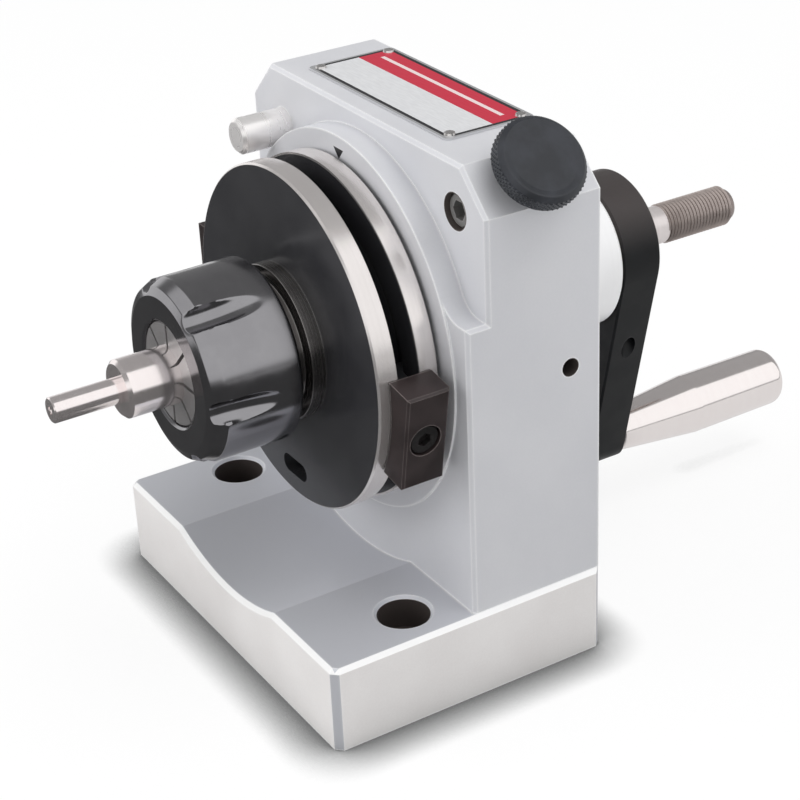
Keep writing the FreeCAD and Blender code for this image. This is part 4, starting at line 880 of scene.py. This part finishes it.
def makeKnob():
    look = knobShape
    outward = Vector(plungerLine["axis"])
    centre = middleOf("plunger_knob") - outward * (look["height"] / 2)
    place = alongAxis(centre, outward, (plungerTurn, 0, -plungerTurn))
    core = look["radius"] - look["rise"]
    dishEdge = core - look["dishEase"] * look["ease"]
    profile = rounded([
        (look["stem"], 0, 0), (core - look["ease"], 0, 0.2 * mm), (core, look["ease"], 0.15 * mm),
        (core, look["height"] - look["ease"], 0.3 * mm), (core - look["ease"], look["height"], 0.5 * mm),
        (dishEdge, look["height"] - look["dish"] * look["dishShoulder"], 0.6 * mm),
        (0, look["height"] - look["dish"], 0), (0, look["stemDepth"], 0),
        (look["stem"], look["stemDepth"], 0)])
    mesh = latheMesh("indexKnob", profile, place, look["around"])
    finishPiece("indexKnob", mesh, "knob", "plunger", ["plunger_knob"])
    pitch = 2 * math.pi * core / look["points"]
    band = look["height"] - 2 * look["ease"]
    rows = int(band / (pitch / 2))
    knurl = grownMesh("knobKnurl", knurlTree(finishes["knob"]), {
        "Count": look["points"], "Rows": rows, "Radius": core - look["sink"], "Pitch": pitch,
        "Rise": look["rise"], "Tip": look["tip"]}, finishes["knob"])
    slack = (band - rows * pitch / 2) / 2
    knurl.transform(place @ Matrix.Translation((0, 0, look["ease"] + slack)))
    finishPiece("knobKnurl", knurl, "knob", "plunger")


makeNut()
makeSpindle()
makeStud()
makeKnob()
print("turned pieces made")


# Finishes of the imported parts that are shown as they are

finishOf = {"body": "groundSteel", "nameplate": "plate", "nameplate_rivets": "bright",
            "thrust_washer": "bronze", "front_bush": "bronze", "rear_sleeve": "sleeve",
            "rear_bush": "bronze", "rear_washer": "bronze", "sleeve_set_screw": "screw",
            "stop_pin": "pin", "plunger_barrel": "stem", "plunger_spring": "stem",
            "plunger_set_screw": "lockScrew", "stop_disc": "disc", "disc_key": "bright",
            "index_ring": "bright", "index_ring_screw": "screw", "crank_arm": "arm",
            "arm_set_screw": "bright", "handle_bolt": "screw", "dog_right": "dog",
            "dog_nut_right": "screw", "dog_screw_right": "dogScrew", "dog_left": "dog",
            "dog_nut_left": "screw", "dog_screw_left": "dogScrew", "collet": "collet",
            "punch": "punch", "plunger_pin": "stem", "crank_handle": "handle"}
for node, finish in finishOf.items():
    nodes[node].data.materials.clear()
    nodes[node].data.materials.append(finishes[finish])
print("packed parts painted:", len(finishOf))


# Floor, light and camera

floorLook = {"size": 6.0, "colour": (0.93, 0.93, 0.93, 1), "speck": (0.91, 0.91, 0.915, 1),
             "speckScale": 30, "roughness": 0.7, "shadow": (0.30, 0.32, 0.32, 1), "glow": 0.84,
             "mirror": 0.94, "mirrorFront": 0.04, "mirrorBack": 0.72, "turnFrom": 0.05,
             "turnTo": 0.09, "slant": 0.35, "leftEdge": (-0.5, -0.35), "contact": 0.012,
             "contactPower": 3.0}


def makeFloor():
    look = floorLook
    half = look["size"] / 2
    corners = [(-half, -half, 0), (half, -half, 0), (half, half, 0), (-half, half, 0)]
    mesh = bpy.data.meshes.new("floor")
    mesh.from_pydata(corners, [], [(0, 1, 2, 3)])
    floor = bpy.data.objects.new("floor", mesh)
    bpy.context.scene.collection.objects.link(floor)
    material, tree, shader = newFinish("floorWhite")
    contact = addNode(tree, "ShaderNodeAmbientOcclusion", samples=8)
    contact.inputs["Distance"].default_value = look["contact"]
    shade = mathNode(tree, "POWER", contact.outputs["AO"], look["contactPower"])
    coordinates, x, y, z = placeOf(tree)
    speck = noiseNode(tree, coordinates, look["speckScale"], 3.0)
    pale = mixColour(tree, speck, look["colour"], look["speck"])
    join(tree, mixColour(tree, shade, look["shadow"], pale), shader.inputs["Base Color"])
    shader.inputs["Roughness"].default_value = look["roughness"]
    glow = addNode(tree, "ShaderNodeEmission")
    path = addNode(tree, "ShaderNodeLightPath")
    seen = either(tree, path.outputs["Is Camera Ray"], path.outputs["Is Transmission Ray"])
    mirrored = path.outputs["Is Glossy Ray"]
    # Metal sees a dark table in front of the block and a pale one behind it and far at the left
    slanted = mathNode(tree, "SUBTRACT", y, both(tree, x, look["slant"]))
    rear = rangeNode(tree, slanted, look["turnFrom"], look["turnTo"], look["mirrorFront"],
                     look["mirrorBack"])
    table = either(tree, rear, rangeNode(tree, x, *look["leftEdge"], 1.0, 0.0))
    join(tree, crossed(tree, mirrored, shade, table), glow.inputs["Strength"])
    share = mathNode(tree, "ADD", both(tree, seen, look["glow"]), both(tree, mirrored, look["mirror"]))
    mixed = addNode(tree, "ShaderNodeMixShader")
    for socket, part in zip(mixed.inputs, (share, shader.outputs[0], glow.outputs[0])):
        join(tree, part, socket)
    join(tree, mixed.outputs[0], tree.nodes["Material Output"].inputs["Surface"])
    floor.data.materials.append(material)


worldLook = {"fill": 0.66, "side": 0.30, "top": 0.27, "rise": (0.0, 0.8),
             "panel": 1.02, "panelLeft": (0.10, 0.20), "panelFoot": (0.02, 0.1),
             "board": 0.9, "boardRight": (0.45, 0.2), "boardRear": (0.0, -0.2), "boardFoot": (0.6, 0.72),
             "wall": 1.0, "wallRight": (-0.45, -0.7), "wallTop": (0.25, 0.4), "wallRear": (0.24, 0.38),
             "wallEnd": 0.26}


def makeWorld():
    # Metal sees a grey room with a bright panel at the right, a board up at the front left, and low
    # at the left a pale wall whose rear end is dark
    look = worldLook
    world = bpy.data.worlds.new("studio")
    bpy.context.scene.world = world
    world.use_nodes = True
    tree = world.node_tree
    background = tree.nodes["Background"]
    parts = addNode(tree, "ShaderNodeSeparateXYZ")
    join(tree, addNode(tree, "ShaderNodeTexCoord").outputs["Generated"], parts.inputs[0])
    x, y, z = parts.outputs
    lift = rangeNode(tree, z, *look["rise"], look["side"], look["top"])
    panel = both(tree, rangeNode(tree, x, *look["panelLeft"]), rangeNode(tree, z, *look["panelFoot"]))
    board = both(tree, rangeNode(tree, x, *look["boardRight"]), rangeNode(tree, y, *look["boardRear"]),
                 rangeNode(tree, z, *look["boardFoot"]))
    wall = both(tree, rangeNode(tree, x, *look["wallRight"]), rangeNode(tree, z, *look["wallTop"], 1, 0))
    wallLevel = rangeNode(tree, y, *look["wallRear"], look["wall"], look["wallEnd"])
    sky = crossed(tree, board, lift, look["board"])
    sky = crossed(tree, panel, sky, look["panel"])
    sky = crossed(tree, wall, sky, wallLevel)
    path = addNode(tree, "ShaderNodeLightPath")
    level = crossed(tree, path.outputs["Is Glossy Ray"], look["fill"], sky)
    seen = either(tree, path.outputs["Is Camera Ray"], path.outputs["Is Transmission Ray"])
    join(tree, either(tree, level, seen), background.inputs["Strength"])
    background.inputs["Color"].default_value = (1, 1, 1, 1)


lampLook = {
    "topLamp": {"spot": (0.25, 0.30, 1.20), "size": 0.9, "power": 6.4},
    "frontLamp": {"spot": (-0.50, -0.95, 0.55), "size": 0.9, "power": 6.6},
    "panelLamp": {"spot": (0.95, 0.54, 0.62), "size": 0.8, "power": 0.6},
}
aimPoint = Vector((0, 0.01, 0.06))


def makeLamps():
    for name, look in lampLook.items():
        light = bpy.data.lights.new(name, "AREA")
        light.size = look["size"]
        light.energy = look["power"]
        lamp = bpy.data.objects.new(name, light)
        lamp.visible_glossy = False
        bpy.context.scene.collection.objects.link(lamp)
        lamp.location = look["spot"]
        lamp.rotation_euler = (aimPoint - lamp.location).to_track_quat("-Z", "Y").to_euler()


shotLook = {"azimuth": 59.234, "elevation": 28.155, "roll": -2.664, "distance": 0.445709,
            "right": 0.013356, "up": 0.076526, "base": (0.05, -0.0355, 0.0), "focal": 2057.917,
            "frame": 800, "sensor": 36.0}


def makeCamera():
    look = shotLook
    azimuth, elevation, roll = (math.radians(look[name]) for name in ("azimuth", "elevation", "roll"))
    back = Vector((math.sin(azimuth) * math.cos(elevation), -math.cos(azimuth) * math.cos(elevation),
                   math.sin(elevation)))
    right = Vector((0, 0, 1)).cross(back).normalized()
    up = back.cross(right)
    across = right * math.cos(roll) + up * math.sin(roll)
    upward = up * math.cos(roll) - right * math.sin(roll)
    spot = Vector(look["base"]) + back * look["distance"] + across * look["right"] + upward * look["up"]
    camera = bpy.data.objects.new("shotCamera", bpy.data.cameras.new("shotCamera"))
    camera.data.sensor_width = look["sensor"]
    camera.data.lens = look["focal"] / look["frame"] * look["sensor"]
    camera.data.clip_start = 0.01
    camera.matrix_world = Matrix.Translation(spot) @ Matrix((across, upward, back)).transposed().to_4x4()
    bpy.context.scene.collection.objects.link(camera)
    bpy.context.scene.camera = camera


makeFloor()
makeWorld()
makeLamps()
makeCamera()
bpy.context.scene.view_settings.view_transform = "Standard"
print("studio made")
